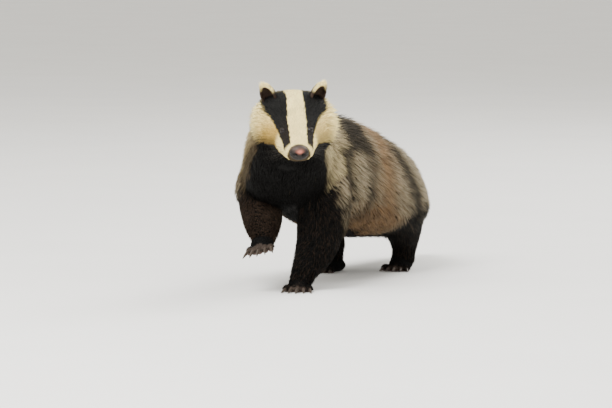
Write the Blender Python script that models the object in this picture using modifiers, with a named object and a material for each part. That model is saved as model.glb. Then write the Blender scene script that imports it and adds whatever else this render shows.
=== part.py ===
"""A life-size European badger, walking with its right forepaw lifted.

The animal heads along -Y with its head turned a little to its own left, which is +X, and stands on Z = 0.
Trunk, head and legs are lofts along curves. Toes, lids, lips and the locks of the coat are joined to them.
All sizes are in metres.
"""

import math
import random
from typing import NamedTuple

import bmesh
import bpy
import numpy as np
from mathutils import Matrix, Vector

# The faces of neighbouring pieces keep this gap.
GAP = 0.0004

# The origin lies on the floor under the middle of the whole model, this far from the shoulders' own zero.
ORIGIN = Vector((0.0157, 0.0492, 0.0))

# The head: its place between the ears, and how it is turned.
HEAD_PLACE = Vector((0.0624, -0.258, 0.3032))
HEAD_YAW = math.radians(29.7)
HEAD_PITCH = math.radians(17.5)
HEAD_ROLL = math.radians(1.0)

EYE_RADIUS = 0.0060
EYE_PLACE = Vector((0.0220, 0.0818, 0.0117))
EYE_LOOK = Vector((0.72, 0.62, 0.28))
LID_THICK = 0.0016
LID_HALF_WIDTH = 0.0058
LID_HALF_HEIGHT = 0.0036

MOUTH_LEVEL = -0.0180
MOUTH_CORNER = 0.078
MOUTH_FRONT = 0.1375
MOUTH_DROP = 0.0035
MOUTH_BEND = 1.6
MOUTH_FRONT_WIDTH = 0.030
MOUTH_RADIUS = 0.0011
MOUTH_SLIMMEST = 0.02
LIP_RADIUS = 0.0030

NOSE_PLACE = Vector((0.0, 0.1393, -0.0062))
NOSE_SIZE = Vector((0.0165, 0.0098, 0.0130))
NOSTRIL_SIZE = Vector((0.0030, 0.0040, 0.0024))
NOSTRIL_PLACE = Vector((0.0075, 0.0087, -0.0010))

EAR_PLACE = Vector((0.0420, -0.001, 0.0430))
EAR_SIZE = Vector((0.0150, 0.0110, 0.0245))
EAR_WALL = 0.0020
EAR_LEAN = math.radians(22.0)
EAR_TURN = math.radians(24.0)
EAR_MOUTH = 0.45

# In the head's and the paws' own frames +X is the animal's right.
SIDES = (("left", -1), ("right", 1))

# How square the sections of the trunk are: 2 is an ellipse.
BACK_SQUARE = 1.95
BELLY_SQUARE = 2.15
JAW_SQUARE = 2.1

# How high the ruff reaches on the head, as a sine, the spans over which it fades, and where its locks grow.
CHEEK_TOP = 0.75
CHEEK_FADE = 0.65
CHIN_FADE = 0.25
CHEEK_LOCKS = (-0.75, 0.40)

# The core of the coat lies this share of its depth below the tips. Under the belly the coat is thinner.
CORE_SHARE = 0.5
BELLY_COAT = 0.55

# A lock at its root, at two places along it and at its tip: how far along, its half width as a share of the
# whole, its top and its underside as shares of the coat's height, and how deep its underside is sunk.
LOCK_AT = np.array([0.0, 0.36, 0.72, 1.0])
LOCK_WIDE = np.array([0.62, 1.0, 0.84])
LOCK_TOP = np.array([0.0, 0.66, 1.05])
LOCK_FOOT = np.array([0.0, 0.0, 0.10])
LOCK_SINK = np.array([0.0045, 0.0020, 0.0])
LOCK_TIP = 1.0

# How much locks vary in place, size and droop.
VARY = 0.10

LEG_RINGS = 10
LEG_SIDES = 12

# The toes, as shares of the paw's sizes: their spacing, the level of their roots, how much shorter each is
# than the one nearer the middle, and how far its root lies back. Then where the rings of toes and claws lie,
# and how thick they are.
TOES = 5
TOE_SPACING = 0.40
TOE_LEVEL = 0.86
TOE_SHORTER = 0.10
TOE_BACK = 0.003
TOE_BACK_STEP = 0.002
TOE_FALL = 0.0012
TOE_SIDES = 6
TOE_AT = np.array([0.0, 0.45, 0.8, 1.0])
TOE_THICK = np.array([1.0, 1.1, 1.0, 0.62])
CLAW_SIDES = 6
CLAW_AT = np.array([0.0, 0.35, 0.7, 1.0])
CLAW_THICK = np.array([1.0, 0.8, 0.5, 0.14])
CLAW_TALL = 1.25
PALM_PAST = 0.006
PALM_TALL = 0.60
PALM_LEVEL = 0.36

# No locks grow on the thinly haired middle of the belly, nor over the legs: past this many of a leg's rings
# they keep off by this share of its half width.
BELLY_BARE = -0.8
LEG_BARE = 3
LEG_CLEARANCE = 0.90

# Small steps, for directions on a surface.
PROBE = 0.003
PROBE_ANGLE = 0.02
LONGEST_MITRE = 4.0

# Colours as the photo shows them, linear.
BLACK_FUR = (0.012, 0.011, 0.010)
CREAM_FUR = (0.78, 0.66, 0.44)
GREY_FUR = (0.22, 0.19, 0.15)
NOSE_SKIN = (0.09, 0.05, 0.04)
EYE_GLOSS = (0.010, 0.006, 0.004)
CLAW_HORN = (0.20, 0.16, 0.11)


class Station(NamedTuple):
    """One place along the trunk.

    The centre, the half width and the reach up and down, all out to the tips of the coat, and the coat's depth.
    """

    x: float
    y: float
    z: float
    wide: float
    above: float
    below: float
    coat: float


class Slice(NamedTuple):
    """One slice of the head, across its length.

    How far forward it is, the level and half width of its widest part, the levels of its top and bottom, how
    square its upper half is (2 is an ellipse), and how far the ruff on its cheeks stands out past all that.
    """

    forward: float
    level: float
    wide: float
    top: float
    bottom: float
    square: float
    ruff: float


class Joint(NamedTuple):
    """One place along a leg: the centre, the half width across the leg and the half depth along the body."""

    x: float
    y: float
    z: float
    wide: float
    deep: float


class Paw(NamedTuple):
    """A paw's sizes, in its own frame: right, forward and up from the middle of the sole."""

    half_width: float
    back: float
    front: float
    tall: float
    toe_length: float
    toe_radius: float
    toe_fan: float
    claw_length: float
    claw_radius: float
    claw_hook: float


class Lie(NamedTuple):
    """How locks grow on a node.

    The lengths of the first and last row, the number of rows, the spacing round them, and each lock's reach,
    width and droop in radians.
    """

    first: float
    last: float
    rows: int
    spacing: float
    reach: float
    wide: float
    droop: float


class Lock(NamedTuple):
    """One lock: where its root is, its sizes, its droop and its height as a share of the coat's."""

    length: float
    angle: float
    reach: float
    wide: float
    droop: float
    rise: float


NECK = [
    Station(0.078, -0.297, 0.270, 0.040, 0.034, 0.027, 0.008),
    Station(0.061, -0.266, 0.273, 0.062, 0.066, 0.056, 0.014),
    Station(0.038, -0.225, 0.258, 0.073, 0.081, 0.074, 0.018),
    Station(0.012, -0.168, 0.222, 0.083, 0.096, 0.078, 0.020),
]
TORSO = [
    Station(0.000, -0.095, 0.190, 0.101, 0.120, 0.062, 0.021),
    Station(0.000, 0.000, 0.160, 0.107, 0.143, 0.064, 0.022),
    Station(0.000, 0.090, 0.138, 0.110, 0.145, 0.066, 0.023),
    Station(0.000, 0.180, 0.124, 0.110, 0.132, 0.060, 0.023),
    Station(0.000, 0.262, 0.116, 0.092, 0.111, 0.055, 0.022),
    Station(0.000, 0.322, 0.114, 0.069, 0.061, 0.044, 0.020),
]
TAIL = [
    Station(-0.003, 0.354, 0.112, 0.044, 0.040, 0.036, 0.018),
    Station(-0.012, 0.400, 0.094, 0.036, 0.031, 0.030, 0.018),
    Station(-0.026, 0.442, 0.074, 0.029, 0.023, 0.024, 0.016),
    Station(-0.040, 0.476, 0.056, 0.012, 0.010, 0.010, 0.006),
]
NECK_END = 0.163
TORSO_END = 0.704

HEAD = [
    Slice(-0.060, -0.004, 0.034, 0.026, -0.036, 2.0, 0.014),
    Slice(-0.040, -0.005, 0.050, 0.041, -0.048, 2.1, 0.018),
    Slice(-0.012, -0.006, 0.058, 0.051, -0.054, 2.2, 0.020),
    Slice(0.018, -0.008, 0.058, 0.050, -0.054, 2.05, 0.018),
    Slice(0.045, -0.010, 0.048, 0.042, -0.049, 1.75, 0.008),
    Slice(0.070, -0.011, 0.039, 0.032, -0.041, 1.65, 0.001),
    Slice(0.095, -0.010, 0.0315, 0.022, -0.034, 1.80, 0.0),
    Slice(0.118, -0.008, 0.0275, 0.0145, -0.028, 2.0, 0.0),
    Slice(0.132, -0.007, 0.0235, 0.0095, -0.024, 2.0, 0.0),
    Slice(0.141, -0.007, 0.0140, 0.0020, -0.017, 2.0, 0.0),
]


NECK_LIE = Lie(0.070, 0.138, 3, 0.058, 0.062, 0.046, 0.35)
TORSO_LIE = Lie(0.188, 0.652, 9, 0.060, 0.088, 0.050, 0.42)
TAIL_LIE = Lie(0.724, 0.788, 3, 0.040, 0.048, 0.036, 0.10)
CHEEK_LIE = Lie(0.036, -0.026, 3, 0.031, 0.048, 0.034, 0.30)

FOREPAW = Paw(0.0205, -0.026, 0.018, 0.028, 0.022, 0.0072, math.radians(7.5), 0.024, 0.0030, 5.0)
HINDPAW = Paw(0.021, -0.046, 0.016, 0.028, 0.019, 0.0072, math.radians(10.0), 0.014, 0.0028, 9.0)

FORE_LEFT = [
    Joint(0.042, -0.108, 0.235, 0.022, 0.032),
    Joint(0.053, -0.118, 0.200, 0.036, 0.046),
    Joint(0.062, -0.134, 0.160, 0.042, 0.048),
    Joint(0.065, -0.148, 0.115, 0.042, 0.043),
    Joint(0.063, -0.158, 0.080, 0.038, 0.038),
    Joint(0.055, -0.171, 0.052, 0.030, 0.031),
    Joint(0.046, -0.182, 0.030, 0.0215, 0.0235),
    Joint(0.043, -0.187, 0.014, 0.0190, 0.0205),
]
FORE_RIGHT = [
    Joint(-0.042, -0.108, 0.235, 0.022, 0.032),
    Joint(-0.053, -0.118, 0.204, 0.037, 0.046),
    Joint(-0.0565, -0.136, 0.168, 0.0385, 0.046),
    Joint(-0.0455, -0.160, 0.133, 0.036, 0.038),
    Joint(-0.029, -0.190, 0.109, 0.029, 0.031),
    Joint(-0.017, -0.212, 0.094, 0.0195, 0.021),
    Joint(-0.014, -0.222, 0.088, 0.0175, 0.019),
]
HIND_LEFT = [
    Joint(0.050, 0.190, 0.165, 0.026, 0.044),
    Joint(0.060, 0.206, 0.120, 0.038, 0.054),
    Joint(0.057, 0.234, 0.080, 0.030, 0.036),
    Joint(0.050, 0.254, 0.048, 0.0225, 0.026),
    Joint(0.048, 0.251, 0.018, 0.0195, 0.023),
]
HIND_RIGHT = [
    Joint(-0.050, 0.180, 0.165, 0.026, 0.044),
    Joint(-0.062, 0.168, 0.120, 0.038, 0.052),
    Joint(-0.063, 0.155, 0.080, 0.029, 0.034),
    Joint(-0.059, 0.168, 0.048, 0.022, 0.026),
    Joint(-0.058, 0.166, 0.018, 0.0195, 0.023),
]

# Where the planted paws stand and how far each is turned outwards, in degrees; then the lifted one.
LEFT_FORE_STAND = (0.043, -0.190, 18.0)
LEFT_HIND_STAND = (0.048, 0.231, 8.0)
RIGHT_HIND_STAND = (-0.058, 0.145, -8.0)
LIFTED_PLACE = Vector((-0.012, -0.230, 0.085))
LIFTED_AHEAD = Vector((0.26, -0.951, -0.09))
LIFTED_ROLL = math.radians(10.0)
LIFTED_SOLE = 0.0126


def smooth_rows(rows, count):
    """Rows spread evenly along a smooth curve through the given ones; the first three columns are a centre."""
    keys = np.array(rows, float)
    steps = np.linalg.norm(np.diff(keys[:, :3], axis=0), axis=1)
    at = np.concatenate([[0.0], np.cumsum(steps)])
    return between(at, keys, np.linspace(0.0, at[-1], count))


def between(at, keys, wanted):
    """The rows at the wanted lengths, by a cubic through the keys whose slopes come from their neighbours."""
    slopes = np.gradient(keys, at, axis=0)
    i = np.clip(np.searchsorted(at, wanted) - 1, 0, len(at) - 2)
    span = (at[i + 1] - at[i])[:, None]
    t = (wanted - at[i])[:, None] / span
    start = (1 + 2 * t) * (1 - t) ** 2 * keys[i] + t * (1 - t) ** 2 * span * slopes[i]
    end = t * t * (3 - 2 * t) * keys[i + 1] + t * t * (t - 1) * span * slopes[i + 1]
    return start + end


def rounded(angle, square):
    """Cosine and sine of the angle, pushed out towards a square as the exponent grows past 2."""
    power = 2.0 / square
    c = np.cos(angle)
    s = np.sin(angle)
    return np.sign(c) * np.abs(c) ** power, np.sign(s) * np.abs(s) ** power


def mesh_object(name, points, faces, colour, roughness=0.8):
    """A mesh object with its own material, and its faces pointing out."""
    mesh = bpy.data.meshes.new(name)
    mesh.from_pydata([tuple(map(float, p)) for p in points], [], faces)
    tidy(mesh)
    obj = bpy.data.objects.new(name, mesh)
    parts.objects.link(obj)
    paint(obj, colour, roughness)
    return obj


def tidy(mesh, merge=0.00002):
    """Welds doubled points, makes triangles and turns every face outwards."""
    work = bmesh.new()
    work.from_mesh(mesh)
    bmesh.ops.remove_doubles(work, verts=work.verts, dist=merge)
    bmesh.ops.triangulate(work, faces=work.faces)
    bmesh.ops.recalc_face_normals(work, faces=work.faces)
    work.to_mesh(mesh)
    work.free()


def paint(obj, colour, roughness=0.8):
    """Gives the object its own Principled material."""
    material = bpy.data.materials.new(obj.name)
    material.use_nodes = True
    shader = material.node_tree.nodes["Principled BSDF"]
    shader.inputs["Base Color"].default_value = (*colour, 1.0)
    shader.inputs["Roughness"].default_value = roughness
    shader.inputs["Metallic"].default_value = 0.0
    obj.data.materials.clear()
    obj.data.materials.append(material)


def loft(name, rings, colour, roughness=0.8):
    """A closed skin over rings of points, each of the same count, with flat caps at both ends."""
    count = len(rings[0])
    faces = []
    for r in range(len(rings) - 1):
        low = r * count
        for i in range(count):
            j = (i + 1) % count
            faces.append((low + i, low + j, low + count + j, low + count + i))
    faces.append(tuple(range(count - 1, -1, -1)))
    last = (len(rings) - 1) * count
    faces.append(tuple(range(last, last + count)))
    return mesh_object(name, np.concatenate(rings), faces, colour, roughness)


class Trunk:
    """The body as a surface: a length from the neck's front to the tail's tip, and an angle round it.

    Angle 0 is the animal's left side, a quarter turn is its back.
    """

    lie = 1.0

    def __init__(self, stations):
        self.keys = np.array(stations, float)
        steps = np.linalg.norm(np.diff(self.keys[:, :3], axis=0), axis=1)
        self.at = np.concatenate([[0.0], np.cumsum(steps)])
        self.length = self.at[-1]

    def row(self, length):
        """Centre, unit vectors to the side and up, the reaches and the coat's depth, at each length."""
        inside = np.clip(length, 0.0, self.length)
        here = between(self.at, self.keys, inside)
        ahead = between(self.at, self.keys, np.minimum(inside + PROBE, self.length))
        behind = between(self.at, self.keys, np.maximum(inside - PROBE, 0.0))
        along = unit(ahead[:, :3] - behind[:, :3])
        centre = here[:, :3] + along * (length - inside)[:, None]
        side = unit(np.cross(along, [0.0, 0.0, 1.0]))
        up = np.cross(side, along)
        return centre, side, up, here[:, 3:6], here[:, 6]

    def rise(self, length, angle):
        """How far the tips of the coat stand above its core."""
        belly = np.clip(-np.sin(angle) * 2.0, 0.0, 1.0)
        return CORE_SHARE * self.row(length)[4] * (1.0 - (1.0 - BELLY_COAT) * belly)

    def point(self, length, angle):
        """Points on the core of the coat."""
        centre, side, up, reach, _ = self.row(length)
        c, s = rounded(angle, np.where(np.sin(angle) > 0, BACK_SQUARE, BELLY_SQUARE))
        depth = self.rise(length, angle)
        tall = np.where(s > 0, reach[:, 1], reach[:, 2]) - depth
        return centre + side * ((reach[:, 0] - depth) * c)[:, None] + up * (tall * s)[:, None]


class Head:
    """The head as a surface in its own frame: a length forwards, and an angle round it.

    Angle 0 is the animal's right side, a quarter turn is the crown.
    """

    lie = -1.0

    def __init__(self, slices):
        self.keys = np.array([(0.0, s.forward, 0.0, *s[1:]) for s in slices], float)
        self.at = self.keys[:, 1]

    @staticmethod
    def cheek(angle):
        """Where the ruff grows: full on the cheeks, fading towards the crown and under the chin."""
        height = np.sin(angle)
        from_crown = np.clip((CHEEK_TOP - height) / CHEEK_FADE, 0, 1)
        return from_crown * np.clip((height + 1.0) / CHIN_FADE, 0, 1)

    def row(self, length):
        """The sizes at each length."""
        return between(self.at, self.keys, np.clip(length, self.at[0], self.at[-1]))

    def rise(self, length, angle):
        """How far the tips of the ruff stand above its core."""
        ruff = self.row(length)[:, 8]
        return CORE_SHARE * np.maximum(ruff, 0.0) * self.cheek(angle)

    def point(self, length, angle):
        """Points on the head, with the ruff's core on its cheeks."""
        level, wide, top, bottom, square, ruff = self.row(length)[:, 3:9].T
        above = np.sin(angle) > 0
        c, s = rounded(angle, np.where(above, square, JAW_SQUARE))
        half = wide + np.maximum(ruff, 0.0) * self.cheek(angle) - self.rise(length, angle)
        tall = np.where(above, top - level, level - bottom)
        return np.stack([half * c, length, level + tall * s], axis=1)


def unit(rows):
    """Each row brought to length 1."""
    return rows / np.linalg.norm(rows, axis=1)[:, None]


def outward(surface, length, angle):
    """Unit vectors out of a surface."""
    along = surface.point(length + PROBE, angle) - surface.point(length - PROBE, angle)
    across = surface.point(length, angle + PROBE_ANGLE) - surface.point(length, angle - PROBE_ANGLE)
    return unit(np.cross(along, across))


def core(surface, name, lengths, sides, colour):
    """The closed core of a node, with a ring of points at each length."""
    angle = np.linspace(0.0, 2 * math.pi, sides, endpoint=False)
    return loft(name, [surface.point(np.full(sides, length), angle) for length in lengths], colour)


def plan_locks(surface, lie, keep, seed):
    """Staggered rows of locks round a surface, varied a little; keep says which roots may grow one."""
    draw = random.Random(seed)
    angle = np.linspace(0.0, 2 * math.pi, 181)
    plans = []
    for row, length in enumerate(np.linspace(lie.first, lie.last, lie.rows)):
        ring = surface.point(np.full(len(angle), length), angle)
        arc = np.concatenate([[0.0], np.cumsum(np.linalg.norm(np.diff(ring, axis=0), axis=1))])
        count = round(arc[-1] / lie.spacing)
        for i in range(count):
            place = (i + 0.5 * (row % 2) + draw.uniform(-VARY, VARY)) / count % 1.0
            turn = float(np.interp(place * arc[-1], arc, angle))
            plan = Lock(
                length=length + draw.uniform(-VARY, VARY) * lie.spacing,
                angle=turn,
                reach=lie.reach * (1.0 + draw.uniform(-VARY, VARY)),
                wide=lie.wide * (1.0 + draw.uniform(-VARY, VARY)),
                droop=lie.droop + draw.uniform(-VARY, VARY),
                rise=1.0 - draw.uniform(0.0, VARY),
            )
            if keep(plan):
                plans.append(plan)
    return plans


def lock_piece(surface, plan):
    """A flat tapered lock that leaves the core at a slant, bends along it and ends free at the coat's tips.

    It is laid out on the core: a share along the lock, a distance to its side and a height. The lock's own
    direction is the lie, turned down the flank by the droop.
    """
    at = np.repeat(LOCK_AT, 3)[:-2]
    share = np.concatenate([np.stack([-LOCK_WIDE, LOCK_WIDE, 0 * LOCK_WIDE], axis=1).ravel(), [0.0]])
    across = share * plan.wide / 2
    run = at * plan.reach
    fall = math.sin(plan.droop) * math.cos(plan.angle)
    ahead = surface.lie * math.cos(plan.droop)
    root = np.full(len(at), plan.length)
    turn = np.full(len(at), plan.angle)
    apart = surface.point(root, turn + PROBE_ANGLE) - surface.point(root, turn - PROBE_ANGLE)
    per_angle = np.linalg.norm(apart, axis=1) / (2 * PROBE_ANGLE)
    length = root + run * ahead + across * fall
    angle = turn + (across * ahead - run * fall) / per_angle
    rise = surface.rise(length, angle) * plan.rise
    high = np.stack([LOCK_FOOT, LOCK_FOOT, LOCK_TOP], axis=1).ravel()
    low = np.stack([LOCK_SINK, LOCK_SINK, 0 * LOCK_SINK], axis=1).ravel()
    height = np.append(high, LOCK_TIP) * rise - np.append(low, 0.0)
    points = surface.point(length, angle) + outward(surface, length, angle) * height[:, None]
    faces = [(0, 2, 1)]
    for low in (0, 3):
        for i in range(3):
            j = (i + 1) % 3
            faces.append((low + i, low + j, low + j + 3, low + i + 3))
    faces += [(6, 7, 9), (7, 8, 9), (8, 6, 9)]
    return mesh_object("lock", points, faces, GREY_FUR)


def head_matrix():
    """Carries the head's own frame (right, forward, up) to the model's."""
    turn = Matrix.Rotation(HEAD_YAW, 4, "Z") @ Matrix.Rotation(math.pi, 4, "Z")
    nod = Matrix.Rotation(-HEAD_PITCH, 4, "X")
    lean = Matrix.Rotation(HEAD_ROLL, 4, "Y")
    return Matrix.Translation(HEAD_PLACE) @ turn @ nod @ lean


def combine(base, pieces, operation):
    """One Boolean of the base with all the closed pieces at once, which are then removed."""
    if not pieces:
        return base
    group = bpy.data.collections.new("pieces")
    bpy.context.scene.collection.children.link(group)
    for piece in pieces:
        parts.objects.unlink(piece)
        piece.hide_render = True
        piece.display_type = "WIRE"
        group.objects.link(piece)
    modifier = base.modifiers.new("combine", "BOOLEAN")
    modifier.operation = operation
    modifier.operand_type = "COLLECTION"
    modifier.collection = group
    modifier.solver = "EXACT"
    apply(base)
    for piece in list(group.objects):
        bpy.data.objects.remove(piece)
    bpy.data.collections.remove(group)
    keep_largest(base)
    return base


def join(base, pieces):
    """Joins closed pieces to the base."""
    return combine(base, pieces, "UNION")


def apply(obj):
    """Replaces the object's mesh by the one its modifiers make."""
    bpy.context.view_layer.update()
    graph = bpy.context.evaluated_depsgraph_get()
    made = bpy.data.meshes.new_from_object(obj.evaluated_get(graph))
    obj.modifiers.clear()
    old = obj.data
    obj.data = made
    bpy.data.meshes.remove(old)
    tidy(obj.data)


def keep_largest(obj):
    """Keeps the closed surface of the largest volume and drops the rest."""
    work = bmesh.new()
    work.from_mesh(obj.data)
    work.verts.ensure_lookup_table()
    left = set(work.verts)
    best = (0.0, set())
    groups = []
    while left:
        seed = left.pop()
        group = {seed}
        edge = [seed]
        while edge:
            for line in edge.pop().link_edges:
                for vert in line.verts:
                    if vert in left:
                        left.discard(vert)
                        group.add(vert)
                        edge.append(vert)
        faces = {face for vert in group for face in vert.link_faces}
        volume = abs(sum(f.verts[0].co.dot(f.verts[1].co.cross(f.verts[2].co)) for f in faces))
        groups.append(group)
        if volume > best[0]:
            best = (volume, group)
    dropped = [vert for group in groups if group is not best[1] for vert in group]
    if dropped:
        bmesh.ops.delete(work, geom=dropped, context="VERTS")
    bmesh.ops.recalc_face_normals(work, faces=work.faces)
    work.to_mesh(obj.data)
    work.free()


def cut(target, *cutters):
    """Takes the cutters from the target, and removes them."""
    return combine(target, list(cutters), "DIFFERENCE")


def grown(obj, by):
    """A copy of the object whose faces all lie further out by the given distance."""
    copy = obj.copy()
    copy.data = obj.data.copy()
    parts.objects.link(copy)
    work = bmesh.new()
    work.from_mesh(copy.data)
    work.normal_update()
    moves = [(v, v.normal * by * min(v.calc_shell_factor(), LONGEST_MITRE)) for v in work.verts]
    for vert, move in moves:
        vert.co += move
    work.to_mesh(copy.data)
    work.free()
    return copy


def carve(target, neighbours):
    """Cuts the target clear of its closed neighbours by the gap; they stay as they are."""
    low, high = box_of(target)
    cutters = []
    for neighbour in neighbours:
        near, far = box_of(neighbour)
        if (near < high + GAP).all() and (far > low - GAP).all():
            cutters.append(grown(neighbour, GAP))
    return cut(target, *cutters)


def box_of(obj):
    """The lowest and highest corner of an object's points."""
    points = np.array([v.co[:] for v in obj.data.vertices])
    return points.min(axis=0), points.max(axis=0)


def ball(name, place, size, colour, segments, rings, roughness=0.8):
    """A sphere stretched to a size, its poles up and down."""
    work = bmesh.new()
    bmesh.ops.create_uvsphere(work, u_segments=segments, v_segments=rings, radius=1.0)
    bmesh.ops.scale(work, vec=size, verts=work.verts)
    bmesh.ops.translate(work, vec=place, verts=work.verts)
    mesh = bpy.data.meshes.new(name)
    work.to_mesh(mesh)
    work.free()
    tidy(mesh)
    obj = bpy.data.objects.new(name, mesh)
    parts.objects.link(obj)
    paint(obj, colour, roughness)
    return obj


def tube(name, path, at, radii, sides, colour, tall=1.0, roughness=0.8):
    """A tapering tube along a path, with a ring at each distance; it ends in flat caps across the path."""
    step = 0.0002
    centres = path(at)
    along = path(at + step) - path(at - step)
    along /= np.linalg.norm(along, axis=1)[:, None]
    side = np.cross(along, [0.0, 0.0, 1.0])
    side /= np.linalg.norm(side, axis=1)[:, None]
    up = np.cross(side, along)
    angle = np.linspace(0.0, 2 * math.pi, sides, endpoint=False)
    rings = []
    for i, radius in enumerate(radii):
        across = np.cos(angle)[:, None] * side[i] + np.sin(angle)[:, None] * up[i] * tall
        rings.append(centres[i] + radius * across)
    return loft(name, rings, colour, roughness)


def bent_tube(name, points, radii, sides):
    """A tube through the points, with a ring at each across its direction there; for joining or cutting."""
    along = np.gradient(points, axis=0)
    along /= np.linalg.norm(along, axis=1)[:, None]
    side = np.cross(along, [0.0, 0.0, 1.0])
    side /= np.linalg.norm(side, axis=1)[:, None]
    up = np.cross(side, along)
    angle = np.linspace(0.0, 2 * math.pi, sides, endpoint=False)
    rings = []
    for i, radius in enumerate(radii):
        rings.append(points[i] + radius * (np.cos(angle)[:, None] * side[i] + np.sin(angle)[:, None] * up[i]))
    return loft(name, rings, BLACK_FUR)


def shift(obj, matrix):
    """Moves the object's points by the matrix."""
    obj.data.transform(matrix)
    if matrix.determinant() < 0:
        obj.data.flip_normals()
    return obj


def clear_of_legs(trunk):
    """A test that says whether a lock leaves the belly and the legs' short fur bare."""
    joints = (FORE_LEFT, FORE_RIGHT, HIND_LEFT, HIND_RIGHT)
    legs = np.concatenate([smooth_rows(leg, LEG_RINGS)[LEG_BARE:] for leg in joints])

    def keep(plan):
        lengths = plan.length + np.array([0.0, 0.5]) * plan.reach
        foot = trunk.point(lengths, np.full(2, plan.angle))
        apart = np.linalg.norm(foot[:, None, :] - legs[None, :, :3], axis=2)
        clear = (apart > LEG_CLEARANCE * legs[:, 3:].max(axis=1)).all()
        return bool(clear) and math.sin(plan.angle) > BELLY_BARE

    return keep


def build_trunk():
    """The pieces of the neck, torso and tail: each one's core, which ends in flat faces, and its locks."""
    trunk = Trunk(NECK + TORSO + TAIL)
    keep = clear_of_legs(trunk)
    spans = [
        ("neck", 0.0, NECK_END - GAP / 2, 7, 20, NECK_LIE, CREAM_FUR),
        ("torso", NECK_END + GAP / 2, TORSO_END - GAP / 2, 14, 22, TORSO_LIE, GREY_FUR),
        ("tail", TORSO_END + GAP / 2, trunk.length, 7, 12, TAIL_LIE, CREAM_FUR),
    ]
    pieces = []
    for seed, (name, start, end, rings, sides, lie, colour) in enumerate(spans):
        plans = plan_locks(trunk, lie, keep, seed)
        body = core(trunk, name, np.linspace(start, end, rings), sides, colour)
        pieces.append([body] + [lock_piece(trunk, plan) for plan in plans])
    return pieces


def muzzle_side(forward, height):
    """How far out the muzzle's side lies, below its widest part."""
    rows = np.array([(s.forward, s.level, s.wide, s.bottom) for s in HEAD])
    level, wide, bottom = (np.interp(forward, rows[:, 0], rows[:, i]) for i in (1, 2, 3))
    down = np.clip((level - height) / (level - bottom), 0.0, 1.0)
    return wide * (1.0 - down ** JAW_SQUARE) ** (1.0 / JAW_SQUARE)


def mouth_path(t, below=0.0):
    """Points along the mouth's line, from its left corner at t = -1 round the front to its right one at 1."""
    back = np.abs(t) ** MOUTH_BEND
    forward = MOUTH_FRONT - (MOUTH_FRONT - MOUTH_CORNER) * back
    height = MOUTH_LEVEL - MOUTH_DROP * back - below
    side = np.minimum(muzzle_side(forward, height), MOUTH_FRONT_WIDTH * np.abs(t) ** 0.5)
    return np.stack([np.sign(t) * side, forward, height], axis=1)


def build_mouth(head):
    """A lower lip round the jaw, with the mouth's line cut above it."""
    t = np.linspace(-1.0, 1.0, 15)
    slim = np.sqrt(np.clip(1.0 - t ** 4, MOUTH_SLIMMEST, 1.0))
    lip = bent_tube("lip", mouth_path(t, below=LIP_RADIUS * 0.9), LIP_RADIUS * slim, 5)
    line = bent_tube("line", mouth_path(t), MOUTH_RADIUS * slim, 5)
    join(head, [lip])
    cut(head, line)


def build_eye(name, side, head):
    """An eye, with its lids joined to the head and opened over the ball."""
    centre = Vector((side * EYE_PLACE.x, EYE_PLACE.y, EYE_PLACE.z))
    look = Vector((side * EYE_LOOK.x, EYE_LOOK.y, EYE_LOOK.z)).normalized()
    eye = ball(f"{name}_eye", centre, Vector((EYE_RADIUS,) * 3), EYE_GLOSS, 12, 8, 0.05)
    lids = ball("lids", centre, Vector((EYE_RADIUS + LID_THICK,) * 3), BLACK_FUR, 12, 8)
    join(head, [lids])
    size = Vector((LID_HALF_WIDTH, 2 * EYE_RADIUS, LID_HALF_HEIGHT))
    opening = ball("opening", Vector(), size, BLACK_FUR, 10, 6)
    turn = look.to_track_quat("Y", "Z").to_matrix().to_4x4()
    shift(opening, Matrix.Translation(centre + look * EYE_RADIUS) @ turn)
    cut(head, opening)
    carve(head, [eye])
    return eye


def build_nose():
    """The nose pad with its nostrils."""
    nose = ball("nose", NOSE_PLACE, NOSE_SIZE, NOSE_SKIN, 14, 8, 0.35)
    for side in (-1, 1):
        place = NOSE_PLACE + Vector((side * NOSTRIL_PLACE.x, NOSTRIL_PLACE.y, NOSTRIL_PLACE.z))
        cut(nose, ball("nostril", place, NOSTRIL_SIZE, NOSE_SKIN, 6, 5))
    return nose


def build_head():
    """The pieces of the head, first the head itself; and its eyes, nose and ears, set free."""
    skull = Head(HEAD)
    head = core(skull, "head", np.linspace(HEAD[0].forward, HEAD[-1].forward, 21), 24, CREAM_FUR)
    build_mouth(head)
    nose = carve(build_nose(), [head])
    eyes = [build_eye(name, side, head) for name, side in SIDES]
    locks = [lock_piece(skull, plan) for plan in plan_locks(skull, CHEEK_LIE, on_cheek, 11)]
    ears = [carve(build_ear(name, side), [head, *locks]) for name, side in SIDES]
    place = head_matrix()
    for piece in (head, nose, *eyes, *ears, *locks):
        shift(piece, place)
    return [head, *locks]


def on_cheek(plan):
    """Says whether a lock is part of the ruff on the cheeks."""
    return CHEEK_LOCKS[0] < math.sin(plan.angle) < CHEEK_LOCKS[1]


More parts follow.
